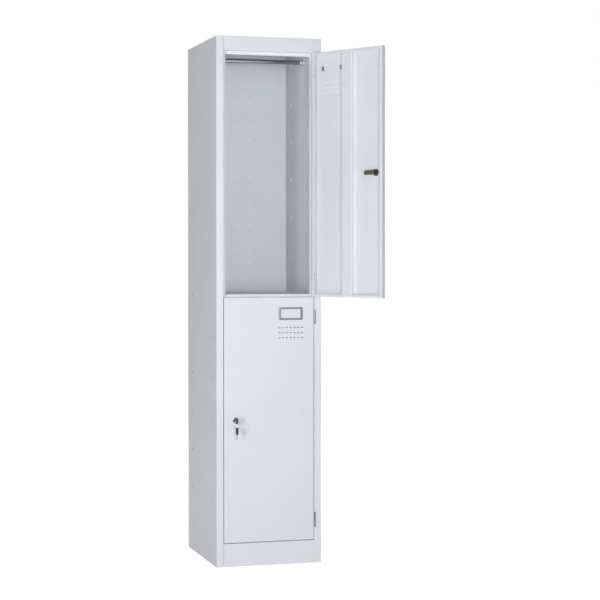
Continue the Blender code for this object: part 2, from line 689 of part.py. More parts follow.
def lock_body(level, door):
    """The housing through the door's skin, with two flats on its barrel, and the nut behind the skin."""

    def in_door(across, along, up):
        return (LOCK_X + across, DOOR_FACE + along, DOOR_HEIGHT / 2 + up)

    bore = PLUG_RADIUS + SEAT_GAP
    face = -SEAT_GAP - LOCK_FLANGE
    end = CAM_FRONT - SEAT_GAP
    section = [
        (bore, face),
        (LOCK_FLANGE_RADIUS - LOCK_FLANGE_CHAMFER, face),
        (LOCK_FLANGE_RADIUS, face + LOCK_FLANGE_CHAMFER),
        (LOCK_FLANGE_RADIUS, -SEAT_GAP),
        (LOCK_BARREL_RADIUS, -SEAT_GAP),
        (LOCK_BARREL_RADIUS, end),
        (bore, end),
    ]
    name = level + "_lock_housing"
    housing = make_object(name, turned(section, ROUND_SIDES, in_door, closed=True), NICKEL, door)
    for side_name, way in (("top", 1), ("bottom", -1)):
        low_z, high_z = sorted((way * LOCK_BARREL_FLAT, way * (LOCK_BARREL_RADIUS + CUT_OVERRUN)))
        reach = LOCK_BARREL_RADIUS + CUT_OVERRUN
        flat = box(in_door(-reach, -SEAT_GAP / 2, low_z), in_door(reach, end + CUT_OVERRUN, high_z))
        boolean(housing, flat, f"{name}_flat_{side_name}")
    nut_near = SHEET + SEAT_GAP
    corner = NUT_ACROSS_FLATS / 2 / math.cos(math.pi / 6)
    outline = [(corner * math.cos(math.pi * k / 3), corner * math.sin(math.pi * k / 3)) for k in range(6)]
    nut_far = nut_near + NUT_THICKNESS
    nut = prism(outline, nut_near, nut_far, lambda a, b, c: in_door(a, c, b))
    nut = make_object(level + "_lock_nut", nut, YELLOW_ZINC, door)
    hole = round_holes(
        [(0, 0)],
        LOCK_BARREL_RADIUS + LOCK_HOLE_CLEARANCE,
        ROUND_SIDES,
        nut_near - CUT_OVERRUN,
        nut_far + CUT_OVERRUN,
        lambda a, b, c: in_door(a, c, b),
    )
    boolean(nut, hole, level + "_lock_nut_hole")


def on_lock(across, along, up):
    """The lock's own frame: along is the plug's axis, from the door's face to the back."""
    return (across, along, up)


def capsule(reach, radius, steps):
    """An outline with one round end about the origin and one about (reach - radius, 0)."""
    outline = []
    for centre, start in ((0.0, math.pi / 2), (reach - radius, -math.pi / 2)):
        for step in range(steps + 1):
            angle = start + math.pi * step / steps
            outline.append((centre + radius * math.cos(angle), radius * math.sin(angle)))
    return outline


def lock_works(level, lock):
    """Plug with its keyway and square post, the cam on the post, and the screw that holds the cam."""
    face = -SEAT_GAP - LOCK_FLANGE - PLUG_PROUD
    shoulder = CAM_FRONT - SEAT_GAP
    section = [
        (0, face),
        (PLUG_RADIUS, face),
        (PLUG_RADIUS, shoulder),
        (0, shoulder),
    ]
    name = level + "_lock_plug"
    plug = make_object(name, turned(section, ROUND_SIDES, on_lock), NICKEL, lock)
    post_half = PLUG_POST / 2
    post_end = CAM_REAR - SEAT_GAP
    post = box((-post_half, shoulder - CUT_OVERRUN, -post_half), (post_half, post_end, post_half))
    boolean(plug, post, name + "_post", "UNION")
    slot_x = KEY_THICKNESS / 2 + KEYWAY_CLEARANCE
    slot_z = KEY_HEIGHT / 2 + KEYWAY_CLEARANCE
    keyway_end = face + KEY_IN_PLUG + KEYWAY_CLEARANCE
    boolean(plug, box((-slot_x, face - CUT_OVERRUN, -slot_z), (slot_x, keyway_end, slot_z)), name + "_keyway")
    bore = SCREW_RADIUS + SEAT_GAP
    bore_end = post_end - SCREW_DEPTH
    hole = round_holes([(0, 0)], bore, PIN_SIDES, bore_end, post_end + CUT_OVERRUN, along_y)
    boolean(plug, hole, name + "_screw_hole")

    name = level + "_lock_cam"
    cam = prism(capsule(CAM_REACH, CAM_END_RADIUS, CAM_END_STEPS), CAM_FRONT, CAM_REAR, along_y)
    cam = make_object(name, cam, YELLOW_ZINC, lock)
    eye = post_half + SEAT_GAP
    boolean(cam, box((-eye, CAM_FRONT - CUT_OVERRUN, -eye), (eye, CAM_REAR + CUT_OVERRUN, eye)), name + "_eye")

    head_near = CAM_REAR + SEAT_GAP
    profile = [
        (0, bore_end + SEAT_GAP),
        (SCREW_RADIUS, bore_end + SEAT_GAP),
        (SCREW_RADIUS, head_near),
        (SCREW_HEAD_RADIUS, head_near),
        (SCREW_HEAD_RADIUS, head_near + SCREW_HEAD / 2),
        (SCREW_HEAD_RADIUS / 2, head_near + SCREW_HEAD),
        (0, head_near + SCREW_HEAD),
    ]
    make_object(level + "_cam_screw", turned(profile, PIN_SIDES, on_lock), YELLOW_ZINC, lock)


def key_blade_outline():
    """The blade's side view: length along the first axis from the head, height along the second."""
    tip = KEY_FREE_BLADE
    half = KEY_HEIGHT / 2
    outline = [(-KEY_TANG, half), (-KEY_TANG, -half), (tip - KEY_TIP_SLOPE, -half), (tip, 0.0)]
    outline.append((tip - KEY_TIP_SLOPE, half))
    pitch = (tip - KEY_TIP_SLOPE) / (KEY_BITS * 2 + 1)
    for bit in range(KEY_BITS):
        end = tip - KEY_TIP_SLOPE - pitch * (2 * bit + 1)
        outline.append((end, half))
        outline.append((end - pitch / 2, half - KEY_BIT_DEPTH))
        outline.append((end - pitch, half))
    return outline


def key_head_outline():
    """A bow that is round at its far end and narrows to a neck: length from the blade, then width."""
    half = HEAD_WIDTH / 2
    neck = half * HEAD_NECK_SHARE
    centre = HEAD_LENGTH - half
    outline = [(0.0, neck)]
    for step in range(HEAD_ROUND_STEPS + 1):
        angle = math.pi / 2 - math.pi * step / HEAD_ROUND_STEPS
        outline.append((centre + half * math.cos(angle), half * math.sin(angle)))
    outline.append((0.0, -neck))
    return outline


def key(blade_name, head_name, place, parent):
    """A flat blade with bits, whose tang sits in a moulded head. place turns (length, width, thickness)."""
    half = KEY_THICKNESS / 2
    outline = [(-along, width) for along, width in key_blade_outline()]
    make_object(blade_name, prism(outline, -half, half, place), NICKEL, parent)
    head_half = HEAD_THICKNESS / 2
    bm = prism(key_head_outline(), -head_half, head_half, place)
    rims = [edge for edge in bm.edges if len(set(len(face.verts) for face in edge.link_faces)) > 1]
    bmesh.ops.bevel(bm, geom=rims, offset=HEAD_EDGE_RADIUS, segments=1, profile=0.5, affect="EDGES")
    head = make_object(head_name, bm, BLACK_PLASTIC, parent)
    gap = SEAT_GAP
    tang = [
        (-CUT_OVERRUN, -KEY_HEIGHT / 2 - gap),
        (KEY_TANG + gap, -KEY_HEIGHT / 2 - gap),
        (KEY_TANG + gap, KEY_HEIGHT / 2 + gap),
        (-CUT_OVERRUN, KEY_HEIGHT / 2 + gap),
    ]
    boolean(head, prism(tang, -half - gap, half + gap, place), head_name + "_tang_room")
    eye = [(HEAD_LENGTH - HEAD_HOLE_INSET, 0.0)]
    reach = head_half + CUT_OVERRUN
    boolean(head, round_holes(eye, HEAD_HOLE_RADIUS, PIN_SIDES, -reach, reach, place), head_name + "_eye")


def key_set(lock):
    """The key in the lower lock, the ring through its head, and the spare key that hangs on the ring."""

    def in_lock(length, width, thickness):
        return (thickness, HEAD_NEAR - length, width)

    key("key_blade", "key_head", in_lock, lock)

    ring_axis = axis_empty("key_ring_axis", (0, HEAD_HOLE_Y, 0), parent=lock)
    centre_z = -RING_IN_HOLE - RING_RADIUS
    bm = bmesh.new()
    rings = []
    for step in range(RING_STEPS):
        angle = math.tau * step / RING_STEPS
        ring = []
        for side in range(RING_WIRE_SIDES):
            around = math.tau * side / RING_WIRE_SIDES
            reach = RING_RADIUS + RING_WIRE_RADIUS * math.cos(around)
            y = RING_WIRE_RADIUS * math.sin(around)
            ring.append(bm.verts.new((reach * math.sin(angle), y, centre_z + reach * math.cos(angle))))
        rings.append(ring)
    for step in range(RING_STEPS):
        near, far = rings[step], rings[(step + 1) % RING_STEPS]
        for side in range(RING_WIRE_SIDES):
            following = (side + 1) % RING_WIRE_SIDES
            bm.faces.new((near[side], near[following], far[following], far[side]))
    make_object("key_ring", bm, NICKEL, ring_axis)

    spare_axis = axis_empty("spare_key_axis", (0, 0, centre_z - RING_RADIUS), parent=ring_axis)
    head_end = HEAD_HOLE_INSET - RING_IN_HOLE

    def on_ring(length, width, thickness):
        return (thickness, width, head_end - HEAD_LENGTH + length)

    key("spare_key_blade", "spare_key_head", on_ring, spare_axis)


def carcass():
    """The welded body with its shelves and rods."""
    notches = hinge_centres(LOWER_DOOR_BASE) + hinge_centres(UPPER_DOOR_BASE)
    side_panel("left_side_panel", -1, ())
    side_panel("right_side_panel", 1, notches)
    top_panel()
    back_panel()
    plinth()
    shelf("bottom_panel", FLOOR_TOP)
    shelf("middle_shelf", SHELF_TOP)
    hanging_rod("upper", HEIGHT)
    hanging_rod("lower", SHELF_TOP)


def door_set(level, base, turn):
    """One door on its hinge axis, with everything that it carries."""
    door = axis_empty(level + "_door_axis", (AXIS_X, AXIS_Y, base), turn)
    door_panel(level, door)
    stiffener(level, door)
    label_holder(level, door)
    upper_hinge, lower_hinge = hinge_centres(base)
    hinge(level + "_door_top_hinge", upper_hinge, door, base)
    hinge(level + "_door_bottom_hinge", lower_hinge, door, base)
    lock_body(level, door)
    lock = axis_empty(level + "_lock_axis", (LOCK_X, DOOR_FACE, DOOR_HEIGHT / 2), parent=door)
    lock_works(level, lock)
    return lock


def main():
    """Builds the whole locker in an empty scene."""
    for thing in list(bpy.data.objects):
        bpy.data.objects.remove(thing, do_unlink=True)
    carcass()
    door_set("upper", UPPER_DOOR_BASE, UPPER_DOOR_OPEN)
    key_set(door_set("lower", LOWER_DOOR_BASE, 0.0))


main()
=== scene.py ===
"""Looks of a school locker: folded, powder-coated steel sheet with plated locks, hinges and keys.

A sheet part is worked out the way it is made. A flat blank is laid out as a grid of cells, holes are punched
into it, and it is folded round its section. A turned part is a profile carried round an axis. All of it is
computed as whole arrays, in metres, in the frame's own axes: +X right, +Y back, +Z up.
"""

from __future__ import annotations

import json
import logging
import math
from collections.abc import Callable, Sequence
from dataclasses import dataclass, field
from enum import Enum

import bpy
import numpy as np
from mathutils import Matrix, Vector

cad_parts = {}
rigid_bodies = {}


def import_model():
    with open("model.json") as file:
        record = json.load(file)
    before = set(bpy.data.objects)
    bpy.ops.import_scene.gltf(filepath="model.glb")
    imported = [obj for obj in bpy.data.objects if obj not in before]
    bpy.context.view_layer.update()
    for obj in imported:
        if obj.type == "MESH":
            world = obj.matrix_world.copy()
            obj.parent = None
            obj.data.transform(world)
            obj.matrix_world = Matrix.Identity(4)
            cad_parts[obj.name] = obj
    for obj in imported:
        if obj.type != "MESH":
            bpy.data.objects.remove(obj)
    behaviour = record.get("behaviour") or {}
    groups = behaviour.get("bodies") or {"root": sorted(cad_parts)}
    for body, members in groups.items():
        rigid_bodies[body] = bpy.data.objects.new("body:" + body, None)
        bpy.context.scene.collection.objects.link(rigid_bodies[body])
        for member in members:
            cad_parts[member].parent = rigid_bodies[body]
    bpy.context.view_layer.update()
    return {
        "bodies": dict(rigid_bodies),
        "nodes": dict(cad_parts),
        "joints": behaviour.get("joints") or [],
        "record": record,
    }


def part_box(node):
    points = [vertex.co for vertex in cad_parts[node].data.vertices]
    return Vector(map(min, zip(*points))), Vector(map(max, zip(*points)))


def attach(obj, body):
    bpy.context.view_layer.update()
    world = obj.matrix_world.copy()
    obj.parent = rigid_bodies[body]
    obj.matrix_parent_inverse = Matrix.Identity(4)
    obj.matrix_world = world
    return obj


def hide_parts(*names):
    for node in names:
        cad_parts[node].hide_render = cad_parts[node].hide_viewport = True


MM = 0.001
# Points about this close are one. It is no round number, so that round sizes don't lie between two steps.
WELD_PITCH = 0.001234 * MM
SHARP_ANGLE = math.radians(32)

Array = np.ndarray
Point = tuple[float, float, float]
LOG = logging.getLogger("school_locker")


# Colours and materials


class Slot(Enum):
    """Names of the record's material slots."""

    POWDER_COAT = "powder_coated_steel"
    ZINC = "zinc_plated_steel"
    YELLOW_ZINC = "yellow_passivated_steel"
    NICKEL = "nickel_plated_steel"
    CHROME = "chromed_tube"
    PLASTIC = "black_plastic"


SRGB_LINE_END, SRGB_LINE_SLOPE, SRGB_OFFSET, SRGB_POWER = 0.04045, 12.92, 0.055, 2.4


def linear_colour(hex_code: str) -> tuple[float, float, float, float]:
    """Turns an sRGB hex colour into linear red, green and blue, with full alpha.

    The curve is a straight line up to a dark level, and a power above it.

    Args:
        hex_code: A colour such as "#DADDE4".

    Returns:
        The linear channels and 1 for alpha.
    """
    channels = np.array([int(hex_code[start : start + 2], 16) for start in (1, 3, 5)]) / 255
    curve = ((channels + SRGB_OFFSET) / (1 + SRGB_OFFSET)) ** SRGB_POWER
    linear = np.where(channels <= SRGB_LINE_END, channels / SRGB_LINE_SLOPE, curve)
    return (*linear.tolist(), 1.0)


def add_node(tree: bpy.types.NodeTree, kind: str, inputs: dict | None = None, **settings) -> bpy.types.Node:
    """Adds a shader node.

    Args:
        tree: The tree that gets the node.
        kind: The node's type name.
        inputs: Values or source sockets by input name or number.
        settings: The node's own properties.

    Returns:
        The new node.
    """
    node = tree.nodes.new(kind)
    for name, value in settings.items():
        setattr(node, name, value)
    for key, value in (inputs or {}).items():
        if isinstance(value, bpy.types.NodeSocket):
            tree.links.new(value, node.inputs[key])
        else:
            node.inputs[key].default_value = value
    return node


# Octaves of finer noise in a finish's patches and in its grain, and the noise values of its two colours.
PATCH_DETAIL = 2.0
GRAIN_DETAIL = 3.0
RAMP_ENDS = (0.35, 0.65)


def noise_of(
    tree: bpy.types.NodeTree, wavelength: float, detail: float, stretch: Sequence[float] = (1, 1, 1)
) -> bpy.types.NodeSocket:
    """Noise on Object coordinates whose lumps are about one wavelength apart.

    Args:
        tree: The material's tree.
        wavelength: Distance between lumps, in metres.
        detail: Octaves of finer noise on top.
        stretch: How many times longer the lumps are along each axis.

    Returns:
        The noise's value socket.
    """
    place = add_node(tree, "ShaderNodeTexCoord").outputs["Object"]
    scale = tuple(1 / times for times in stretch)
    mapped = add_node(tree, "ShaderNodeMapping", {"Vector": place, "Scale": scale})
    inputs = {"Vector": mapped.outputs["Vector"], "Scale": 1 / wavelength, "Detail": detail}
    return add_node(tree, "ShaderNodeTexNoise", inputs).outputs["Fac"]


@dataclass(frozen=True)
class Finish:
    """A surface as its maker would order it. Colours are sRGB, sizes are in metres."""

    name: str
    slot: Slot
    colours: tuple[str, str]
    patch: float
    roughness: float
    spread: float
    grain: float
    relief: float
    metallic: float = 1.0
    stretch: Point = (1.0, 1.0, 1.0)

    def material(self) -> bpy.types.Material:
        """The finish as a material, made once.

        Patches of noise run from one colour to the other, and a fine grain sets roughness and bump.

        Returns:
            The material.
        """
        found = bpy.data.materials.get(self.name)
        if found:
            return found
        made = bpy.data.materials.new(self.name)
        made.use_nodes = True
        tree = made.node_tree
        shader = tree.nodes["Principled BSDF"]
        shader.inputs["Metallic"].default_value = self.metallic
        ramp = add_node(tree, "ShaderNodeValToRGB", {"Fac": noise_of(tree, self.patch, PATCH_DETAIL)})
        for stop, position, colour in zip(ramp.color_ramp.elements, RAMP_ENDS, self.colours):
            stop.position = position
            stop.color = linear_colour(colour)
        tree.links.new(ramp.outputs["Color"], shader.inputs["Base Color"])
        grain = noise_of(tree, self.grain, GRAIN_DETAIL, self.stretch)
        low, high = self.roughness - self.spread, self.roughness + self.spread
        spread = add_node(tree, "ShaderNodeMapRange", {"Value": grain, "To Min": low, "To Max": high})
        tree.links.new(spread.outputs["Result"], shader.inputs["Roughness"])
        bump = add_node(tree, "ShaderNodeBump", {"Height": grain, "Distance": self.relief, "Strength": 1.0})
        tree.links.new(bump.outputs["Normal"], shader.inputs["Normal"])
        return made


# Polyester powder, sprayed and baked: satin, with a fine orange peel, drawn at 2.5 mm so that it shows.
POWDER_COAT = Finish(
    "powder_coat_light_grey", Slot.POWDER_COAT, ("#DBDEE5", "#D8DBE2"), patch=240 * MM, metallic=0.0,
    roughness=0.42, spread=0.04, grain=2.5 * MM, relief=0.004 * MM,
)
# Electroplated zinc, clear passivated: dull grey with a faint yellow, uneven from the bath.
ZINC = Finish(
    "bright_zinc_plate", Slot.ZINC, ("#6C6E66", "#7E8079"), patch=9 * MM,
    roughness=0.38, spread=0.08, grain=0.9 * MM, relief=0.006 * MM,
)
# The rod's cups: the same zinc plating with a painted highlight, its colours lighter than the plating's own.
ZINC_PAINTED_HIGHLIGHT = Finish(
    "zinc_plate_painted_highlight", Slot.ZINC, ("#C9CAC8", "#D3D4D1"), patch=9 * MM,
    roughness=0.42, spread=0.06, grain=0.9 * MM, relief=0.006 * MM,
)
# Zinc with yellow chromate: brass-olive with greener and darker clouds.
YELLOW_ZINC = Finish(
    "yellow_passivated_zinc", Slot.YELLOW_ZINC, ("#6F6B50", "#5A5843"), patch=5 * MM,
    roughness=0.34, spread=0.08, grain=0.8 * MM, relief=0.006 * MM,
)
# Nickel over steel and die-cast zinc: semi-bright, with a little haze.
NICKEL = Finish(
    "semi_bright_nickel", Slot.NICKEL, ("#9C9DA0", "#A8A8AA"), patch=12 * MM,
    roughness=0.24, spread=0.06, grain=0.7 * MM, relief=0.003 * MM,
)
# The lock's plug: the same nickel with painted shade, darker than the nickel's own, for the key's head
# shading its face.
NICKEL_PAINTED_SHADE = Finish(
    "nickel_painted_shade", Slot.NICKEL, ("#515256", "#5B5C5F"), patch=12 * MM,
    roughness=0.3, spread=0.06, grain=0.7 * MM, relief=0.003 * MM,
)
# Pressed steel label holder, dull nickel: darker and softer than the lock's face.
DULL_NICKEL = Finish(
    "dull_nickel", Slot.NICKEL, ("#6F7074", "#77787C"), patch=18 * MM,
    roughness=0.36, spread=0.05, grain=0.8 * MM, relief=0.004 * MM,
)
# Drawn and chromed tube: bright, with drawing lines along it.
CHROME = Finish(
    "drawn_chrome", Slot.CHROME, ("#9DA0A4", "#A2A5A9"), patch=60 * MM, stretch=(30.0, 1.0, 1.0),
    roughness=0.2, spread=0.05, grain=0.8 * MM, relief=0.002 * MM,
)
# Moulded key heads: black ABS with a spark-eroded grain.
BLACK_PLASTIC = Finish(
    "black_moulded_abs", Slot.PLASTIC, ("#131416", "#18191B"), patch=6 * MM, metallic=0.0,
    roughness=0.45, spread=0.06, grain=0.6 * MM, relief=0.01 * MM,
)


# Meshes from arrays


def grid_faces(rows: int, columns: int, wrap_rows: bool = False, wrap_columns: bool = False) -> Array:
    """Four-sided faces between neighbouring points of a grid.

    Args:
        rows: Points along the first parameter.
        columns: Points along the second parameter.
        wrap_rows: Whether the last row joins the first.
        wrap_columns: Whether the last column joins the first.

    Returns:
        Point numbers, as an array of cells by cells by 4.
    """
    cells_down = np.arange(rows if wrap_rows else rows - 1)
    cells_across = np.arange(columns if wrap_columns else columns - 1)
    row, column = np.meshgrid(cells_down, cells_across, indexing="ij")
    next_row, next_column = (row + 1) % rows, (column + 1) % columns
    corners = ((row, column), (next_row, column), (next_row, next_column), (row, next_column))
    return np.stack([at_row * columns + at_column for at_row, at_column in corners], axis=-1)


def weld(points: Array, faces: Array) -> tuple[Array, Array]:
    """Joins points that coincide.

    Args:
        points: All points, one per row.
        faces: Point numbers.

    Returns:
        The number of one point for each place, and the faces in terms of those.
    """
    keys = np.round(points / WELD_PITCH).astype(np.int64)
    _, first, inverse = np.unique(keys, axis=0, return_index=True, return_inverse=True)
    return first, inverse.reshape(-1)[faces]


def whole_and_three_sided(faces: Array) -> list[Array]:
    """Splits four-sided faces into whole ones and triangles, and drops what has collapsed further.

    Args:
        faces: Four point numbers per row, in which neighbours may be one point.

    Returns:
        The four-sided faces and the triangles.
    """
    same = faces == np.roll(faces, -1, axis=1)
    folded = (faces[:, 0] == faces[:, 2]) | (faces[:, 1] == faces[:, 3])
    whole = faces[~same.any(axis=1) & ~folded]
    single = (same.sum(axis=1) == 1) & ~folded
    order = (same[single].argmax(axis=1)[:, None] + np.array([1, 2, 3])) % 4
    return [whole, np.take_along_axis(faces[single], order, axis=1)]


def turned_to(points: Array, normals: Array, faces: Array) -> Array:
    """Turns each face round that faces against its points' normals, by the sign of a dot product.

    Args:
        points: All points, one per row.
        normals: A normal for each.
        faces: Point numbers.

    Returns:
        The faces, all facing the normals' way.
    """
    across = np.cross(points[faces[:, 2]] - points[faces[:, 0]], points[faces[:, -1]] - points[faces[:, 1]])
    facing = (across * normals[faces].mean(axis=1)).sum(axis=1)
    return np.where((facing < 0)[:, None], faces[:, ::-1], faces)


def open_edges(groups: list[Array]) -> Array:
    """The directed edges that only one face has.

    Args:
        groups: Arrays of faces that share one numbering.

    Returns:
        Two point numbers per row.
    """
    edges = [np.stack([faces, np.roll(faces, -1, axis=1)], axis=-1).reshape(-1, 2) for faces in groups]
    start, end = np.concatenate(edges).T
    count = max(start.max(), end.max()) + 1
    alone = ~np.isin(start * count + end, end * count + start)
    return np.stack([start[alone], end[alone]], axis=1)


def make_piece(name: str, points: Array, groups: list[Array], finish: Finish) -> bpy.types.Object:
    """Puts arrays into a mesh object at the origin, without unused points, smooth but for its sharp edges.

    Args:
        name: The piece's name.
        points: All points, in metres.
        groups: Arrays of faces.
        finish: What it is coated or made of.

    Returns:
        The object, linked to the scene.
    """
    used, numbers = np.unique(np.concatenate([faces.reshape(-1) for faces in groups]), return_inverse=True)
    numbers = numbers.reshape(-1)
    rows, start = [], 0
    for faces in groups:
        rows += numbers[start : start + faces.size].reshape(faces.shape).tolist()
        start += faces.size
    mesh = bpy.data.meshes.new(name)
    mesh.from_pydata(points[used].tolist(), [], rows)
    mesh.shade_smooth()
    mesh.set_sharp_from_angle(angle=SHARP_ANGLE)
    mesh.materials.append(finish.material())
    piece = bpy.data.objects.new(name, mesh)
    bpy.context.scene.collection.objects.link(piece)
    return piece


@dataclass
class Solid:
    """A closed body of one or more grids."""

    points: list[Array] = field(default_factory=list)
    faces: list[Array] = field(default_factory=list)
    count: int = 0

    def add(self, grid: Array, wrap_rows: bool = False) -> Solid:
        """Adds a grid that closes on itself, turned outwards by the sign of its volume.

        The volume is the sum of the tetrahedra between the origin and the faces' halves.

        Args:
            grid: Rows by columns by 3, whose last column joins its first.
            wrap_rows: Whether its last row joins its first. Otherwise both rows are poles.

        Returns:
            The body.
        """
        points = grid.reshape(-1, 3)
        faces = grid_faces(grid.shape[0], grid.shape[1], wrap_rows, True).reshape(-1, 4)
        a, b, c, d = (points[faces[:, corner]] for corner in range(4))
        volume = (a * np.cross(b, c)).sum() + (a * np.cross(c, d)).sum()
        self.points.append(points)
        self.faces.append((faces if volume > 0 else faces[:, ::-1]) + self.count)
        self.count += len(points)
        return self

    def make(self, name: str, finish: Finish) -> bpy.types.Object:
        """The welded body as an object.

        Args:
            name: The piece's name.
            finish: What it is coated or made of.

        Returns:
            The object.
        """
        points = np.concatenate(self.points)
        first, faces = weld(points, np.concatenate(self.faces))
        groups = [faces for faces in whole_and_three_sided(faces) if len(faces)]
        return make_piece(name, points[first], groups, finish)


@dataclass(frozen=True)
class Placement:
    """Where a sub-assembly's own axes lie: an origin, and a turn about +Z."""

    origin: Point = (0.0, 0.0, 0.0)
    turn: float = 0.0

    def apply(self, local: Array) -> Array:
        """Turns and shifts points into the locker's frame.

        Args:
            local: Points, in any shape that ends in 3.

        Returns:
            The points in the locker's frame.
        """
        cosine, sine = math.cos(self.turn), math.sin(self.turn)
        rotation = np.array([[cosine, -sine, 0], [sine, cosine, 0], [0, 0, 1]])
        return local @ rotation.T + np.array(self.origin)

    def direct(self, local: Array) -> Array:
        """Turns directions into the locker's frame."""
        return Placement(turn=self.turn).apply(local)

    def inner(self, offset: Sequence[float], turn: float = 0.0) -> Placement:
        """The placement of something that sits at an offset in these axes, turned by so much more."""
        return Placement(tuple(self.apply(np.array(offset, float)).tolist()), self.turn + turn)


# Sheet metal


@dataclass(frozen=True)
class SheetMetal:
    """The stock that the carcass and the doors are folded from."""

    thickness: float = 0.8 * MM
    inner_radius: float = 0.8 * MM
    bend_steps: int = 6
    support: float = 0.7 * MM
    seat: float = 0.3 * MM


# A hole lies in a square of cells. Its half side is this share of the radius, its rings of points lie at
# these shares of the way from the hole's edge to its border, and its grid lines run in these directions.
HOLE_CELL_SHARE = 1.55
HOLE_RING_SHARES = (0.0, 0.15, 0.55)
HOLE_DIRECTIONS = np.tan(np.radians(np.arange(-45, 46, 15)))
# Grid lines that agree to this many digits of a metre are one.
GRID_DIGITS = 8
GRID_SLACK = 1e-8


@dataclass(frozen=True)
class Hole:
    """A round hole in a flat blank."""

    u: float
    v: float
    radius: float

    def square(self) -> tuple[float, float, float, float]:
        """The square of cells round the hole, as (u low, u high, v low, v high)."""
        half = self.radius * HOLE_CELL_SHARE
        return self.u - half, self.u + half, self.v - half, self.v + half

    def lines(self, middle: float) -> Array:
        """The square's grid lines along the axis that has the hole's middle there."""
        return middle + self.radius * HOLE_CELL_SHARE * HOLE_DIRECTIONS


def grid_lines(lines: Array, more: Sequence[Array]) -> Array:
    """All of a blank's grid lines along one axis, in order.

    Args:
        lines: The blank's own, its two ends among them.
        more: Those of its holes and cut-outs, which count between the ends.

    Returns:
        The lines' places, each once.
    """
    found = np.unique(np.round(np.concatenate([lines, *more]), GRID_DIGITS))
    return found[(found >= min(lines) - GRID_SLACK) & (found <= max(lines) + GRID_SLACK)]


def cells_within(lines: Array, low: float, high: float) -> Array:
    """Which of the cells between grid lines have their middle within bounds."""
    middles = (lines[1:] + lines[:-1]) / 2
    return (middles > low) & (middles < high)


def square_border(u: Array, v: Array, square: Sequence[float]) -> Array:
    """Numbers of the grid points round a square of cells, side after side.

    Args:
        u: The blank's grid lines along the first axis.
        v: The blank's grid lines along the second axis.
        square: The square, as (u low, u high, v low, v high).

    Returns:
        The point numbers.
    """
    left, right = (int(np.abs(u - edge).argmin()) for edge in square[:2])
    low, high = (int(np.abs(v - edge).argmin()) for edge in square[2:])
    wide, tall = right - left, high - low
    across = [np.arange(left, right), np.full(tall, right), np.arange(right, left, -1), np.full(tall, left)]
    up = [np.full(wide, low), np.arange(low, high), np.full(wide, high), np.arange(high, low, -1)]
    return np.concatenate(across) * len(v) + np.concatenate(up)


def perforate(
    u_lines: Array, v_lines: Array, holes: Sequence[Hole], cuts: Sequence[tuple] = ()
) -> tuple[Array, Array]:
    """Lays out a flat blank as a grid, with cut-outs left empty and rings of cells round each hole.

    A hole's ring point is its centre plus a direction times a radius that grows from the hole's own to the
    border of its square.

    Args:
        u_lines: Grid lines along the first axis.
        v_lines: Grid lines along the second axis.
        holes: The round holes.
        cuts: Rectangles without metal, as (u low, u high, v low, v high).

    Returns:
        Points with two coordinates, and four-sided faces.
    """
    u = grid_lines(u_lines, [hole.lines(hole.u) for hole in holes] + [np.array(cut[:2]) for cut in cuts])
    v = grid_lines(v_lines, [hole.lines(hole.v) for hole in holes] + [np.array(cut[2:]) for cut in cuts])
    kept = np.ones((len(u) - 1, len(v) - 1), bool)
    for u_low, u_high, v_low, v_high in [*cuts, *(hole.square() for hole in holes)]:
        kept[np.ix_(cells_within(u, u_low, u_high), cells_within(v, v_low, v_high))] = False
    grid = np.stack(np.meshgrid(u, v, indexing="ij"), axis=-1).reshape(-1, 2)
    points, faces, count = [grid], [grid_faces(len(u), len(v))[kept]], len(grid)
    for hole in holes:
        border = square_border(u, v, hole.square())
        centre = np.array([hole.u, hole.v])
        offset = grid[border] - centre
        reach = np.linalg.norm(offset, axis=1, keepdims=True)
        numbers = []
        for share in HOLE_RING_SHARES:
            points.append(centre + offset / reach * (hole.radius + (reach - hole.radius) * share))
            numbers.append(count + np.arange(len(border)))
            count += len(border)
        for inner, outer in zip(numbers, [*numbers[1:], border]):
            faces.append(np.stack([inner, np.roll(inner, -1), np.roll(outer, -1), outer], axis=-1))
    return np.concatenate(points), np.concatenate(faces)


@dataclass(frozen=True)
class Section:
    """A sheet's section, walked along its seen face: distance, point and outward normal at each station.

    A folded one also holds where on the walk each flat starts and ends, and how far its bend sets it back.
    """

    walk: Array
    points: Array
    normals: Array
    starts: Array | None = None
    ends: Array | None = None
    setbacks: Array | None = None

    def at(self, distance: Array) -> tuple[Array, Array]:
        """Point and normal at places on the walk, each coordinate read off straight between stations.

        Args:
            distance: Distances along the walk.

        Returns:
            A point and a unit normal for each.
        """
        point, normal = (
            np.stack([np.interp(distance, self.walk, table[:, axis]) for axis in (0, 1)], axis=-1)
            for table in (self.points, self.normals)
        )
        return point, normal / np.linalg.norm(normal, axis=-1, keepdims=True)

    def mark(self, flat: int, along: float) -> float:
        """Distance on the walk of a place that lies `along` metres past the corner before a flat."""
        return float(self.starts[flat] + along - self.setbacks[flat])


def rotated(vector: Array, angles: Array) -> Array:
    """Turns one vector by each of several angles."""
    (x, y), cosine, sine = vector, np.cos(angles), np.sin(angles)
    return np.stack([cosine * x - sine * y, sine * x + cosine * y], axis=-1)


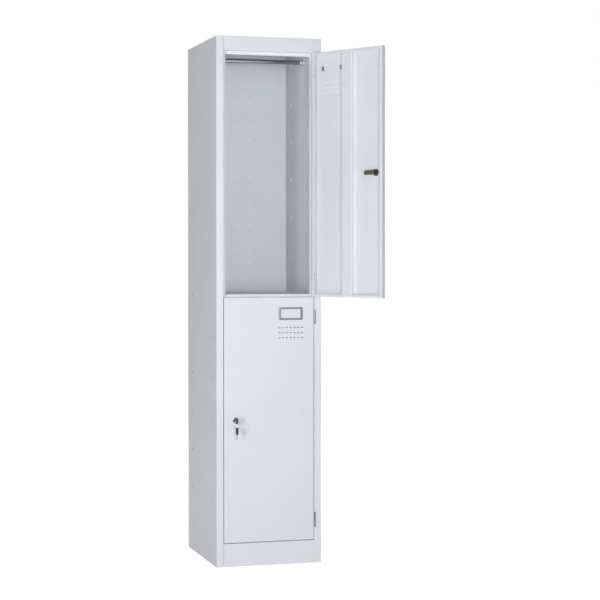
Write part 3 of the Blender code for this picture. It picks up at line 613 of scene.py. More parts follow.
def folded_section(corners: Sequence[tuple[float, float]], metal_side: int, metal: SheetMetal) -> Section:
    """Rounds a folded line's corners, so that every bend keeps the stock's inner radius.

    An arc's station is its centre plus the spoke to its start, turned by a share of the bend's angle.

    Args:
        corners: The seen face's corner points before rounding.
        metal_side: 1 where the metal lies left of the walk, -1 where it lies right.
        metal: The stock.

    Returns:
        The section.
    """
    line = np.array(corners, float)
    ways = np.diff(line, axis=0)
    lengths = np.linalg.norm(ways, axis=1)
    headings = ways / lengths[:, None]
    cross = headings[:-1, 0] * headings[1:, 1] - headings[:-1, 1] * headings[1:, 0]
    turns = np.arctan2(cross, (headings[:-1] * headings[1:]).sum(axis=1))
    radii = metal.inner_radius + metal.thickness * (np.sign(turns) == metal_side)
    setbacks = np.concatenate([[0.0], radii * np.tan(np.abs(turns) / 2), [0.0]])
    lefts = np.stack([-headings[:, 1], headings[:, 0]], axis=1)
    walk, points, normals, starts, ends, distance = [], [], [], [], [], 0.0
    for flat, heading in enumerate(headings):
        start = line[flat] + heading * setbacks[flat]
        length = lengths[flat] - setbacks[flat] - setbacks[flat + 1]
        # Where a flat has room for them, points close to its bends keep its shading even.
        has_room = length > 3 * metal.support
        along = np.array([0.0, metal.support, length - metal.support, length] if has_room else [0.0, length])
        starts.append(distance)
        walk.append(distance + along)
        points.append(start + heading * along[:, None])
        normals.append(np.tile(-lefts[flat] * metal_side, (len(along), 1)))
        distance += length
        ends.append(distance)
        if flat < len(turns):
            inward = lefts[flat] * np.sign(turns[flat]) * radii[flat]
            angles = turns[flat] * np.arange(1, metal.bend_steps) / metal.bend_steps
            walk.append(distance + radii[flat] * np.abs(angles))
            points.append(start + heading * length + inward + rotated(-inward, angles))
            normals.append(rotated(-lefts[flat] * metal_side, angles))
            distance += radii[flat] * abs(turns[flat])
    stations = (np.concatenate(rows) for rows in (walk, points, normals))
    return Section(*stations, np.array(starts), np.array(ends), setbacks)


def end_cuts(low_walk: float, high_walk: float, inner: float, outer: float) -> list[tuple]:
    """The same cut-out between two places on the walk, at both ends of a symmetric blank."""
    return [(low_walk, high_walk, *sorted((hand * inner, hand * outer))) for hand in (-1, 1)]


@dataclass
class Sheet:
    """A sheet part's seen face, gathered patch by patch, with its outward normals."""

    thickness: float
    points: list[Array] = field(default_factory=list)
    normals: list[Array] = field(default_factory=list)
    faces: list[Array] = field(default_factory=list)
    count: int = 0

    def add(self, points: Array, normals: Array, faces: Array) -> None:
        """Adds one patch.

        Args:
            points: Its points, in any shape that ends in 3.
            normals: An outward normal for each point, or one for all.
            faces: Its four-sided faces.
        """
        flat = points.reshape(-1, 3)
        self.points.append(flat)
        self.normals.append(np.broadcast_to(normals, points.shape).reshape(-1, 3))
        self.faces.append(faces.reshape(-1, 4) + self.count)
        self.count += len(flat)

    def make(self, name: str, finish: Finish) -> bpy.types.Object:
        """The sheet with its thickness: the hidden face is the seen one moved back along the normals.

        The edges that only one face has get a rim between both.

        Args:
            name: The piece's name.
            finish: What it is coated with.

        Returns:
            The object.
        """
        points, normals = np.concatenate(self.points), np.concatenate(self.normals)
        first, faces = weld(points, np.concatenate(self.faces))
        points, normals = points[first], normals[first]
        seen = [turned_to(points, normals, group) for group in whole_and_three_sided(faces) if len(group)]
        rim = open_edges(seen)
        count = len(points)
        rims = np.stack([rim[:, 1], rim[:, 0], rim[:, 0] + count, rim[:, 1] + count], axis=1)
        hidden = [group[:, ::-1] + count for group in seen]
        points = np.concatenate([points, points - normals * self.thickness])
        return make_piece(name, points, [*seen, *hidden, rims], finish)


class Axis(Enum):
    """The axis that a folded section is carried along, or a turned profile round."""

    X = "x"
    Y = "y"
    Z = "z"

    def place(self, across: Array, along: Array, up: Array) -> Array:
        """Puts distances across, along and up from the axis into x, y, z."""
        order = {Axis.X: (along, across, up), Axis.Y: (across, along, up), Axis.Z: (across, up, along)}[self]
        return np.stack(np.broadcast_arrays(*order), axis=-1)


def folded_sheet(
    section: Section,
    axis: Axis,
    v_lines: Sequence[float],
    metal: SheetMetal,
    holes: Sequence[Hole] = (),
    cuts: Sequence[tuple] = (),
    placement: Placement = Placement(),
    walk: Array | None = None,
) -> Sheet:
    """Folds a perforated blank round a section: it lies along the walk one way and along the axis the other.

    Args:
        section: The section to fold round.
        axis: The axis that the section is carried along.
        v_lines: Grid lines along the axis, the part's two ends among them.
        metal: The stock.
        holes: Holes in the blank.
        cuts: Cut-outs in the blank.
        placement: Where the part's own axes lie.
        walk: Grid lines along the walk, if not the section's own stations.

    Returns:
        The sheet, ready to be made.
    """
    blank, faces = perforate(section.walk if walk is None else walk, np.array(v_lines), holes, cuts)
    point, normal = section.at(blank[:, 0])
    points = axis.place(point[:, 0], blank[:, 1], point[:, 1])
    normals = axis.place(normal[:, 0], np.zeros(len(blank)), normal[:, 1])
    sheet = Sheet(metal.thickness)
    sheet.add(placement.apply(points), placement.direct(normals), faces)
    return sheet


# Turned and pressed parts


def rounded_profile(corners: Sequence[Point], steps: int = 4) -> Array:
    """Rounds the corners of a profile with arcs.

    Each arc is drawn as a share of the way between its tangent points, pushed out to the radius.

    Args:
        corners: Radius, place along the axis and rounding radius of each corner.
        steps: Faces in each arc.

    Returns:
        Radius and place along the axis, one row per station.
    """
    line = np.array([corner[:2] for corner in corners], float)
    stations = []
    for index, (point, rounding) in enumerate(zip(line, (corner[2] for corner in corners))):
        if not rounding or index in (0, len(line) - 1):
            stations.append(point[None])
            continue
        before, after = point - line[index - 1], line[index + 1] - point
        before, after = before / np.linalg.norm(before), after / np.linalg.norm(after)
        turn = math.atan2(before[0] * after[1] - before[1] * after[0], float(before @ after))
        start = point - before * rounding * math.tan(abs(turn) / 2)
        inward = np.array([-before[1], before[0]]) * math.copysign(rounding, turn)
        stations.append(start + inward + rotated(-inward, turn * np.arange(steps + 1) / steps))
    return np.concatenate(stations)


# Angles that agree to this many digits of a radian are one.
ANGLE_DIGITS = 9


def circle_angles(count: int, extra: Sequence[float] = ()) -> Array:
    """Angles round a circle, with a few named ones among them."""
    even = math.tau * (np.arange(count) + 0.5) / count
    return np.unique(np.round(np.concatenate([even, np.array(extra) % math.tau]), ANGLE_DIGITS))


def quarter_arc(steps: int) -> Array:
    """Angles over a quarter circle, from 0 up in even steps."""
    return np.arange(steps + 1) / steps * math.pi / 2


def from_front(plane: Array, depth: Array) -> Array:
    """Puts places as seen from the front, across and up, and their depths into x, y, z."""
    return Axis.Y.place(plane[..., 0], depth, plane[..., 1])


def capped(rings: Array) -> Array:
    """A tube's rings, closed by a point in the middle of each end."""
    poles = [np.broadcast_to(end.mean(axis=0), (1, *end.shape)) for end in (rings[0], rings[-1])]
    return np.concatenate([poles[0], rings, poles[1]])


def rectangle_reach(half_across: float, half_up: float, angles: Array) -> Array:
    """Distance from a rectangle's middle to its border: the nearer of its two pairs of sides."""
    with np.errstate(divide="ignore"):
        return np.minimum(half_across / np.abs(np.cos(angles)), half_up / np.abs(np.sin(angles)))


def corner_angles(half_across: float, half_up: float) -> list[float]:
    """The directions of a rectangle's corners."""
    first = math.atan2(half_up, half_across)
    return [first, math.pi - first, math.pi + first, -first]


def hexagon_reach(across_flats: float, angles: Array) -> Array:
    """Distance from a hexagon's middle to its border: half the flats over the cosine to the nearest flat."""
    nearest = (angles + math.pi / 6) % (math.pi / 3) - math.pi / 6
    return across_flats / 2 / np.cos(nearest)


def revolve(
    radii: Array,
    along: Array,
    angles: Array,
    axis: Axis,
    centre: Sequence[float] = (0.0, 0.0, 0.0),
    placement: Placement = Placement(),
) -> Array:
    """A grid of points round an axis: radius times cosine across it, and radius times sine up from it.

    Args:
        radii: One radius for each station, or one for each station and angle.
        along: Place of each station on the axis.
        angles: Angles round the axis.
        axis: The axis's direction.
        centre: The point that `along` starts from.
        placement: Where the part's own axes lie.

    Returns:
        Stations by angles by 3.
    """
    radii = radii[:, None] if radii.ndim == 1 else radii
    local = axis.place(radii * np.cos(angles), along[:, None], radii * np.sin(angles))
    return placement.apply(local + np.array(centre, float))


def inset_rectangle(low: Array, high: Array, radius: float, base: Array, way: Array, inset: Array) -> Array:
    """A rounded rectangle's border, drawn in or out.

    It is the corners' centres, pulled in by what goes past the radius, plus what is left of the radius.

    Args:
        low: Lowest corner.
        high: Highest corner.
        radius: Corner radius of the full rectangle.
        base: The border's points on the rectangle of corner centres.
        way: The border's outward directions.
        inset: How far it is drawn in, for each axis.

    Returns:
        The border's points.
    """
    past = np.maximum(inset - radius, 0)
    return np.clip(base, low + radius + past, high - radius - past) + way * np.maximum(radius - inset, 0)


def rectangle_border(
    low: Array, high: Array, radius: float, lines: tuple[Array, Array], steps: int
) -> tuple[Array, Array]:
    """Base points and outward directions round a rounded rectangle, each side followed by a corner.

    Args:
        low: Lowest corner.
        high: Highest corner.
        radius: Corner radius.
        lines: Grid lines along both axes, which the sides' points lie on.
        steps: Faces in each corner.

    Returns:
        Base points and directions, one row each.
    """
    (x0, z0), (x1, z1) = low + radius, high - radius
    x, z = (np.unique(np.clip(axis_lines, a, b)) for axis_lines, a, b in zip(lines, (x0, z0), (x1, z1)))
    sides = (((x, z0), (x1, z0)), ((x1, z), (x1, z1)), ((x[::-1], z1), (x0, z1)), ((x0, z[::-1]), (x0, z0)))
    base, angles = [], []
    for number, (side, corner) in enumerate(sides):
        outward = (number - 1) * math.pi / 2
        base += [np.stack(np.broadcast_arrays(*side), axis=1), np.tile(corner, (steps + 1, 1))]
        angles += [np.full(len(base[-2]), outward), quarter_arc(steps) + outward]
    angle = np.concatenate(angles)
    return np.concatenate(base), np.stack([np.cos(angle), np.sin(angle)], axis=-1)


def settle(shape: Solid | Sheet, name: str, finish: Finish, body: str, *nodes: str) -> None:
    """Makes a piece, lets it ride on its body in the place of CAD nodes, and reports it.

    Args:
        shape: The piece's shape.
        name: The piece's name.
        finish: What it is coated or made of.
        body: The body that it moves with.
        nodes: The nodes that it stands for.
    """
    piece = shape.make(name, finish)
    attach(piece, body)
    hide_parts(*nodes)
    LOG.info("%s rides on %s, %d faces", piece.name, body, len(piece.data.polygons))


def node_box(node: str) -> tuple[Array, Array]:
    """Lowest and highest corner of a CAD node."""
    low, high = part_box(node)
    return np.array(low), np.array(high)


# The locker's sub-assemblies


@dataclass
class Carcass:
    """The welded body: sides, top, back, plinth and shelves."""

    metal: SheetMetal = SheetMetal()
    recess: float = 19 * MM
    stop_lip: float = 12 * MM
    upright: float = 25 * MM
    fascia: float = 50 * MM
    rear_flange: float = 15 * MM
    foot_flange: float = 22 * MM
    shelf_drop: float = 24 * MM
    shelf_hem: float = 8 * MM
    shelf_rear_drop: float = 15 * MM
    side_hole: float = 4.5 * MM
    side_hole_inset: float = 70 * MM
    side_hole_lowest: float = 88 * MM
    side_hole_pitch: float = 142.2 * MM
    side_hole_rows: int = 13
    back_hole: float = 1.8 * MM
    back_hole_columns: int = 3
    back_hole_column_pitch: float = 48 * MM
    back_hole_row_pitch: float = 46 * MM
    back_hole_top_clear: float = 54 * MM
    back_hole_rows: int = 37
    hinge_notch_half: float = 26.2 * MM
    hinge_notch_side: float = 5.4 * MM
    hinge_notch_depth: float = 3.0 * MM
    body: str = "carcass"

    def __post_init__(self) -> None:
        """Takes the outer sizes from the frame."""
        left_low, left_high = node_box("left_side_panel")
        self.half_width = -left_low[0]
        self.front, self.back = left_low[1], left_high[1]
        self.side_top = left_high[2]
        self.height = node_box("top_panel")[1][2]
        self.plinth_top = node_box("plinth")[1][2]
        self.opening_half = self.half_width - self.upright
        self.lip_edge = self.opening_half - self.stop_lip
        self.recess_y = self.front + self.recess

    def build(self, hinge_heights: Sequence[float]) -> None:
        """Makes every part of the body.

        Args:
            hinge_heights: Middles of the hinges, which the right upright is notched for.
        """
        self.side_panel("left", -1, ())
        self.side_panel("right", 1, hinge_heights)
        self.top_panel()
        self.back_panel()
        self.plinth()
        self.shelf("bottom_panel")
        self.shelf("middle_shelf")

    def side_panel(self, side: str, hand: int, hinge_heights: Sequence[float]) -> None:
        """Side wall, upright, jamb and stop lip, folded from one blank.

        Args:
            side: The side's name.
            hand: 1 on the right and -1 on the left.
            hinge_heights: Middles of the hinges that it is notched for.
        """
        line = [
            (hand * self.lip_edge, self.recess_y),
            (hand * self.opening_half, self.recess_y),
            (hand * self.opening_half, self.front),
            (hand * self.half_width, self.front),
            (hand * self.half_width, self.back),
            (hand * (self.half_width - self.rear_flange), self.back),
        ]
        # Flats: 0 stop lip, 1 jamb, 2 upright, 3 side wall, 4 rear flange.
        section = folded_section(line, hand, self.metal)
        depth = self.back - self.front
        columns = [section.mark(3, inset) for inset in (self.side_hole_inset, depth - self.side_hole_inset)]
        rows = self.side_hole_lowest + self.side_hole_pitch * np.arange(self.side_hole_rows)
        holes = [Hole(column, row, self.side_hole) for column in columns for row in rows.tolist()]
        near = section.mark(1, self.recess - self.hinge_notch_depth)
        far = section.mark(2, self.hinge_notch_side)
        half = self.hinge_notch_half
        cuts = [(near, far, height - half, height + half) for height in hinge_heights]
        sheet = folded_sheet(section, Axis.Z, (0.0, self.side_top), self.metal, holes, cuts)
        settle(sheet, f"{side}_side_sheet", POWDER_COAT, self.body, f"{side}_side_panel")

    def top_panel(self) -> None:
        """Top sheet with the fascia, its return and stop lip, and a flange down the back."""
        low = node_box("top_panel")[0]
        fascia_bottom = self.height - self.fascia
        line = [
            (self.recess_y, low[2]),
            (self.recess_y, fascia_bottom),
            (self.front, fascia_bottom),
            (self.front, self.height),
            (self.back, self.height),
            (self.back, self.height - self.rear_flange),
        ]
        # Flats: 0 stop lip, 1 return, 2 fascia, 3 top, 4 rear flange, each cut back to clear the sides' own.
        section = folded_section(line, -1, self.metal)
        seat = self.metal.seat
        lip, opening, outer = self.lip_edge - seat, self.opening_half - seat, self.half_width + seat
        rear = self.half_width - self.rear_flange - seat
        lip_end = section.mark(1, 0.0) + self.metal.inner_radius
        cuts = [
            *end_cuts(0.0, lip_end, lip, outer),
            *end_cuts(lip_end, section.ends[2], opening, outer),
            *end_cuts(section.ends[3], section.walk[-1], rear, outer),
        ]
        v_lines = (-self.half_width, -opening, -lip, lip, opening, self.half_width)
        sheet = folded_sheet(section, Axis.X, v_lines, self.metal, (), cuts)
        settle(sheet, "top_sheet", POWDER_COAT, self.body, "top_panel")

    def back_panel(self) -> None:
        """A flat sheet with three columns of round holes."""
        low, high = node_box("back_panel")
        top = self.height - self.back_hole_top_clear
        rows = top - self.back_hole_row_pitch * np.arange(self.back_hole_rows)
        places = np.arange(self.back_hole_columns) - (self.back_hole_columns - 1) / 2
        columns = self.back_hole_column_pitch * places
        holes = [Hole(column, row, self.back_hole) for column in columns.tolist() for row in rows.tolist()]
        blank, faces = perforate(np.array([low[0], high[0]]), np.array([low[2], high[2]]), holes)
        sheet = Sheet(self.metal.thickness)
        sheet.add(from_front(blank, np.full(len(blank), low[1])), np.array([0.0, -1.0, 0.0]), faces)
        settle(sheet, "back_sheet", POWDER_COAT, self.body, "back_panel")

    def plinth(self) -> None:
        """Front rail with a return at its top and a foot flange on the floor."""
        low, high = node_box("plinth")
        line = [
            (high[1], self.plinth_top),
            (self.front, self.plinth_top),
            (self.front, 0.0),
            (self.front + self.foot_flange, 0.0),
        ]
        # Flats: 0 return, 1 rail, 2 foot flange, which is cut back to clear the side panels' lips.
        section = folded_section(line, 1, self.metal)
        cuts = end_cuts(section.ends[1], section.walk[-1], self.lip_edge - self.metal.seat, self.half_width)
        sheet = folded_sheet(section, Axis.X, (low[0], high[0]), self.metal, (), cuts)
        settle(sheet, "plinth_sheet", POWDER_COAT, self.body, "plinth")

    def shelf(self, node: str) -> None:
        """A folded floor: a front flange with a hem under it, and a rear flange.

        Args:
            node: The shelf's name.
        """
        low, high = node_box(node)
        top, rear = high[2], high[1]
        line = [
            (self.recess_y + self.shelf_hem, top - self.shelf_drop),
            (self.recess_y, top - self.shelf_drop),
            (self.recess_y, top),
            (rear, top),
            (rear, top - self.shelf_rear_drop),
        ]
        # Flats: 0 hem, 1 front flange, 2 floor, 3 rear flange. What lies before the floor is cut back.
        section = folded_section(line, -1, self.metal)
        cuts = end_cuts(0.0, section.starts[2], self.lip_edge - self.metal.seat, self.half_width)
        sheet = folded_sheet(section, Axis.X, (low[0], high[0]), self.metal, (), cuts)
        settle(sheet, f"{node}_sheet", POWDER_COAT, self.body, node)


@dataclass
class HangingRod:
    """A chromed tube in two plated cups."""

    level: str
    wall: float = 1.2 * MM
    tube_edge: float = 0.4 * MM
    sides: int = 64
    cup_flange: float = 1.6 * MM
    cup_wall: float = 1.6 * MM
    cup_floor: float = 2 * MM
    cup_edge: float = 0.5 * MM
    clearance: float = 0.3 * MM

    def build(self) -> None:
        """Makes the tube and both cups."""
        low, high = node_box(f"{self.level}_hanging_rod")
        middle, radius = (low + high) / 2, (high[2] - low[2]) / 2
        half = (high[0] - low[0]) / 2
        bore, edge = radius - self.wall, self.tube_edge
        corners = [(bore, -half, edge), (radius, -half, edge), (radius, half, edge), (bore, half, edge)]
        profile = rounded_profile([corners[3], *corners, corners[0]])[1:-1]
        grid = revolve(profile[:, 0], profile[:, 1], circle_angles(self.sides), Axis.X, middle)
        tube = Solid().add(grid, True)
        settle(tube, f"{self.level}_rod_tube", CHROME, Carcass.body, f"{self.level}_hanging_rod")
        for side, hand in (("left", -1), ("right", 1)):
            self.cup(side, hand, middle, radius)

    def cup(self, side: str, hand: int, middle: Array, radius: float) -> None:
        """One cup: a flange on the side wall and a collar round the tube's end.

        Args:
            side: The side's name.
            hand: 1 on the right and -1 on the left.
            middle: The tube's middle.
            radius: The tube's outer radius.
        """
        node = f"{self.level}_rod_socket_{side}"
        low, high = node_box(node)
        length, flange = high[0] - low[0], (high[2] - low[2]) / 2
        bore = radius + self.clearance
        collar = bore + self.cup_wall
        corners = [
            (0.0, 0.0, 0.0),
            (flange, 0.0, 0.0),
            (flange, self.cup_flange, self.cup_edge),
            (collar, self.cup_flange, self.cup_edge),
            (collar, length, self.cup_edge),
            (bore, length, self.cup_edge),
            (bore, self.cup_floor, 0.0),
            (0.0, self.cup_floor, 0.0),
        ]
        profile = rounded_profile(corners)
        wall = high[0] if hand > 0 else low[0]
        centre = (wall, middle[1], middle[2])
        grid = revolve(profile[:, 0], -hand * profile[:, 1], circle_angles(self.sides), Axis.X, centre)
        # The cups' zinc is painted lighter: a painted highlight.
        settle(Solid().add(grid), f"{self.level}_rod_cup_{side}", ZINC_PAINTED_HIGHLIGHT, Carcass.body, node)


@dataclass
class Hinge:
    """A knuckle hinge: a leaf behind the upright, a leaf riveted to the door's side wall, and a pin."""

    name: str
    axis: Point
    door: Placement
    door_body: str
    local_height: float
    length: float = 51 * MM
    radius: float = 3.2 * MM
    thickness: float = 1.2 * MM
    frame_leaf_width: float = 20 * MM
    door_leaf_width: float = 15 * MM
    roll: float = math.radians(290)
    roll_steps: int = 40
    knuckle_gap: float = 0.4 * MM
    pin_clearance: float = 0.3 * MM
    pin_edge: float = 0.5 * MM
    pin_sides: int = 32
    wall_inside: float = 4.3 * MM
    rivet_radius: float = 3 * MM
    rivet_height: float = 1.7 * MM
    rivet_depth: float = 8.5 * MM
    rivet_offset: float = 8.8 * MM
    rivet_steps: int = 8

    def section(self, width: float) -> Section:
        """The rolled leaf: a flat, and then an arc about the pin from straight up through the roll's angle.

        Args:
            width: The flat's length, from abreast of the pin's axis.

        Returns:
            The section about the pin's axis.
        """
        angles = math.pi / 2 + self.roll * np.arange(self.roll_steps + 1) / self.roll_steps
        spokes = np.stack([np.cos(angles), np.sin(angles)], axis=-1)
        points = np.concatenate([[[width, self.radius]], spokes * self.radius])
        normals = np.concatenate([[[0.0, 1.0]], spokes])
        walk = np.concatenate([[0.0], width + self.radius * (angles - angles[0])])
        return Section(walk, points, normals)

    def build(self) -> None:
        """Makes both leaves, the door leaf's rivets and the pin.

        The door leaf has the middle third of the length for its knuckle, and the frame leaf has both ends.
        """
        half, knuckle, gap = self.length / 2, self.length / 6, self.knuckle_gap / 2
        frame = Placement(self.axis)
        rooms = [(-knuckle - gap, knuckle + gap)]
        self.leaf("frame_leaf", self.frame_leaf_width, rooms, frame, Carcass.body)
        middle = self.door.inner((0.0, 0.0, self.local_height))
        rooms = [(-half, -knuckle + gap), (knuckle - gap, half)]
        across = middle.inner((0.0, 0.0, 0.0), math.pi / 2)
        self.leaf("door_leaf", self.door_leaf_width, rooms, across, self.door_body)
        self.rivets(middle)
        radius, edge = self.radius - self.thickness - self.pin_clearance, self.pin_edge
        corners = [(0.0, -half, 0.0), (radius, -half, edge), (radius, half, edge), (0.0, half, 0.0)]
        profile = rounded_profile(corners)
        angles = circle_angles(self.pin_sides)
        grid = revolve(profile[:, 0], profile[:, 1], angles, Axis.Z, placement=frame)
        settle(Solid().add(grid), f"{self.name}_round_pin", ZINC, Carcass.body, f"{self.name}_pin")

    def leaf(
        self, kind: str, width: float, rooms: list[tuple[float, float]], placement: Placement, body: str
    ) -> None:
        """Makes one leaf with its knuckles.

        Args:
            kind: Which leaf it is.
            width: The length of its flat.
            rooms: Where along the pin the other leaf's knuckles turn.
            placement: Where the pin's middle lies, and which way the leaf runs.
            body: The body that it moves with.
        """
        half = self.length / 2
        section = self.section(width)
        roll_start = width - self.radius - self.knuckle_gap
        walk = np.unique(np.append(section.walk, roll_start))
        lines = sorted({-half, half, *(end for room in rooms for end in room)})
        cuts = [(roll_start, float(walk[-1]), low, high) for low, high in rooms]
        stock = SheetMetal(thickness=self.thickness)
        sheet = folded_sheet(section, Axis.Z, lines, stock, (), cuts, placement, walk)
        settle(sheet, f"{self.name}_rolled_{kind}", ZINC, body, f"{self.name}_{kind}")

    def rivets(self, middle: Placement) -> None:
        """Two domed rivet heads inside the door's side wall, each a quarter arc carried round its axis.

        Args:
            middle: The door's axes, with the pin's middle as their origin.
        """
        steps = quarter_arc(self.rivet_steps)
        radii = np.concatenate([[0.0], self.rivet_radius * np.cos(steps)])
        radii[-1] = 0.0
        along = -self.wall_inside - np.concatenate([[0.0], self.rivet_height * np.sin(steps)])
        solid = Solid()
        for way in (-1, 1):
            centre = (0.0, self.rivet_depth, way * self.rivet_offset)
            solid.add(revolve(radii, along, circle_angles(self.pin_sides), Axis.X, centre, middle))
        settle(solid, f"{self.name}_rivets", ZINC, self.door_body, f"{self.name}_door_leaf")


@dataclass
class Door:
    """A folded pan with vents, a stiffening channel, a label holder and two hinges."""

    level: str
    placement: Placement
    low: Array
    high: Array
    metal: SheetMetal = SheetMetal()
    edge_radius: float = 1.6 * MM
    side_return: float = 11 * MM
    end_return: float = 9 * MM
    mitre_gap: float = 0.15 * MM
    hinge_inset: float = 70 * MM
    stiffener_width: float = 47 * MM
    stiffener_flange: float = 8 * MM
    vent_from_hinge_edge: float = 85 * MM
    vent_radius: float = 2.4 * MM
    vent_columns: int = 7
    vent_column_pitch: float = 13.8 * MM
    vent_rows: int = 3
    vent_row_pitch: float = 17.9 * MM
    vent_first_below_top: float = 106.5 * MM
    label_below_top: float = 57.5 * MM
    slot_clearance: float = 0.4 * MM
    lock_from_free_edge: float = 40 * MM
    lock_hole: float = 9.4 * MM
    corner_hole: float = 2 * MM
    corner_hole_inset: float = 21 * MM
    free_edge_inset: float = 0.06 * MM

    def __post_init__(self) -> None:
        """Works out the places that the fittings share, in the door's own axes."""
        self.body = f"{self.level}_door"
        self.height = float(self.high[2])
        self.face, self.rear = float(self.low[1]), float(self.high[1])
        self.vent_middle = float(self.high[0]) - self.vent_from_hinge_edge
        self.lock_x = float(self.low[0]) + self.lock_from_free_edge
        self.low_xz = self.low[[0, 2]] + np.array([self.free_edge_inset, 0.0])
        self.high_xz = self.high[[0, 2]]
        label_middle = np.array([self.vent_middle, self.height - self.label_below_top])
        self.label = LabelHolder(label_middle, self.face - self.metal.seat)

    def build(self) -> None:
        """Makes the pan and everything fixed to it but its hinges and lock."""
        self.pan()
        self.stiffener()
        self.label_holder()

    def hinge_heights(self) -> tuple[float, float]:
        """Middles of the upper and lower hinge above the door's bottom edge."""
        return self.height - self.hinge_inset, self.hinge_inset

    def skin_openings(self) -> tuple[list[Hole], list[tuple]]:
        """Vents, the lock's hole and the label holder's slots.

        Returns:
            The round holes and the slots.
        """
        places = np.arange(self.vent_columns) - (self.vent_columns - 1) / 2
        columns = self.vent_middle + self.vent_column_pitch * places
        rows = self.height - self.vent_first_below_top - self.vent_row_pitch * np.arange(self.vent_rows)
        holes = [Hole(x, z, self.vent_radius) for x in columns.tolist() for z in rows.tolist()]
        holes.append(Hole(self.lock_x, self.height / 2, self.lock_hole))
        label = self.label
        half = label.stock / 2 + self.slot_clearance
        tall = label.tab_half_height + self.slot_clearance
        slots = []
        for way in (-1, 1):
            x = label.middle[0] + way * (label.half_width - label.stock / 2)
            slots.append((x - half, x + half, label.middle[1] - tall, label.middle[1] + tall))
        return holes, slots

    def pan(self) -> None:
        """Skin, walls and return lips.

        The skin is a perforated blank. Round its border runs the fold: outwards over the front bend to the
        wall, back over the rear bend, and inwards along the lip, whose corners are mitred with a fine gap.
        """
        holes, slots = self.skin_openings()
        low, high = self.low_xz + self.edge_radius, self.high_xz - self.edge_radius
        support = self.metal.support
        lines = [np.array([start, start + support, end - support, end]) for start, end in zip(low, high)]
        blank, faces = perforate(*lines, holes, slots)
        sheet = Sheet(self.metal.thickness)
        depth, normal_depth = np.full(len(blank), self.face), np.full(len(blank), -1.0)
        self.add_patch(sheet, blank, depth, np.zeros_like(blank), normal_depth, faces)
        borders = []
        for axis in (0, 1):
            on_border = np.isclose(blank[:, 1 - axis], low[1 - axis])
            borders.append(np.unique(np.round(blank[on_border][:, axis], GRID_DIGITS)))
        self.add_walls(sheet, *borders)
        self.add_lips(sheet, *borders)
        settle(sheet, f"{self.level}_door_pan", POWDER_COAT, self.body, f"{self.level}_door_panel")

    def add_patch(
        self, sheet: Sheet, plane: Array, depth: Array, normal_plane: Array, normal_depth: Array, faces: Array
    ) -> None:
        """Adds a patch whose points are given in the door's plane and in depth.

        Args:
            sheet: The pan's sheet.
            plane: Places across and up the door.
            depth: Places front to back.
            normal_plane: The normals' share in the door's plane.
            normal_depth: The normals' share front to back.
            faces: The patch's faces.
        """
        points, normals = from_front(plane, depth), from_front(normal_plane, normal_depth)
        sheet.add(self.placement.apply(points), self.placement.direct(normals), faces)

    def add_walls(self, sheet: Sheet, u_lines: Array, v_lines: Array) -> None:
        """Adds the fold round the skin as one ring: the front bend, the wall and the rear bend.

        Args:
            sheet: The pan's sheet.
            u_lines: Places of the skin's border points across the door.
            v_lines: Places of the skin's border points up the door.
        """
        radius, support, steps = self.edge_radius, self.metal.support, self.metal.bend_steps
        front, rear = self.face + radius, self.rear - radius
        quarter = quarter_arc(steps)
        wall = np.array([front + support, rear - support])
        front_bend, rear_bend = radius * (1 - np.cos(quarter)), radius * np.sin(quarter)
        depth = np.concatenate([self.face + front_bend, wall, rear + rear_bend])
        out = np.concatenate([np.sin(quarter), np.ones(len(wall)), np.cos(quarter)])
        backwards = np.concatenate([-np.cos(quarter), np.zeros(len(wall)), np.sin(quarter)])
        base, way = rectangle_border(self.low_xz, self.high_xz, radius, (u_lines, v_lines), steps)
        plane = base[:, None] + way[:, None] * (out * radius)[:, None]
        normal = way[:, None] * out[:, None]
        shape = plane.shape[:2]
        depths, backs = np.broadcast_to(depth, shape), np.broadcast_to(backwards, shape)
        self.add_patch(sheet, plane, depths, normal, backs, grid_faces(*shape, wrap_rows=True))

    def add_lips(self, sheet: Sheet, u_lines: Array, v_lines: Array) -> None:
        """Adds the four return lips, each a grid that narrows to its mitres.

        A lip's point is its border point, moved in by a share of the lip's width, and held inside the mitre.

        Args:
            sheet: The pan's sheet.
            u_lines: Places of the skin's border points across the door.
            v_lines: Places of the skin's border points up the door.
        """
        radius, support = self.edge_radius, self.metal.support
        widths = np.array([self.side_return - radius, self.end_return - radius])
        shares = np.array([0.0, support / widths[1], 1 - support / widths[1], 1.0])
        low, high = self.low_xz + radius, self.high_xz - radius
        inset = self.corner_hole_inset
        corner_x = self.side_return - self.corner_hole - radius
        corner_holes = [Hole(corner_x, z, self.corner_hole) for z in (inset, self.height - inset)]
        for across, along, lines in ((0, 1, v_lines), (1, 0, u_lines)):
            for border, way in ((low[across], 1), (high[across], -1)):
                on_free_edge = across == 0 and way == 1
                blank, faces = perforate(shares * widths[across], lines, corner_holes if on_free_edge else [])
                moved, place = blank[:, 0], blank[:, 1]
                held = moved / widths[across] * widths[along] + self.mitre_gap * (moved > GRID_SLACK)
                plane = np.empty_like(blank)
                plane[:, across] = border + way * moved
                plane[:, along] = np.clip(place, low[along] + held, high[along] - held)
                depth, backwards = np.full(len(blank), self.rear), np.ones(len(blank))
                self.add_patch(sheet, plane, depth, np.zeros_like(blank), backwards, faces)

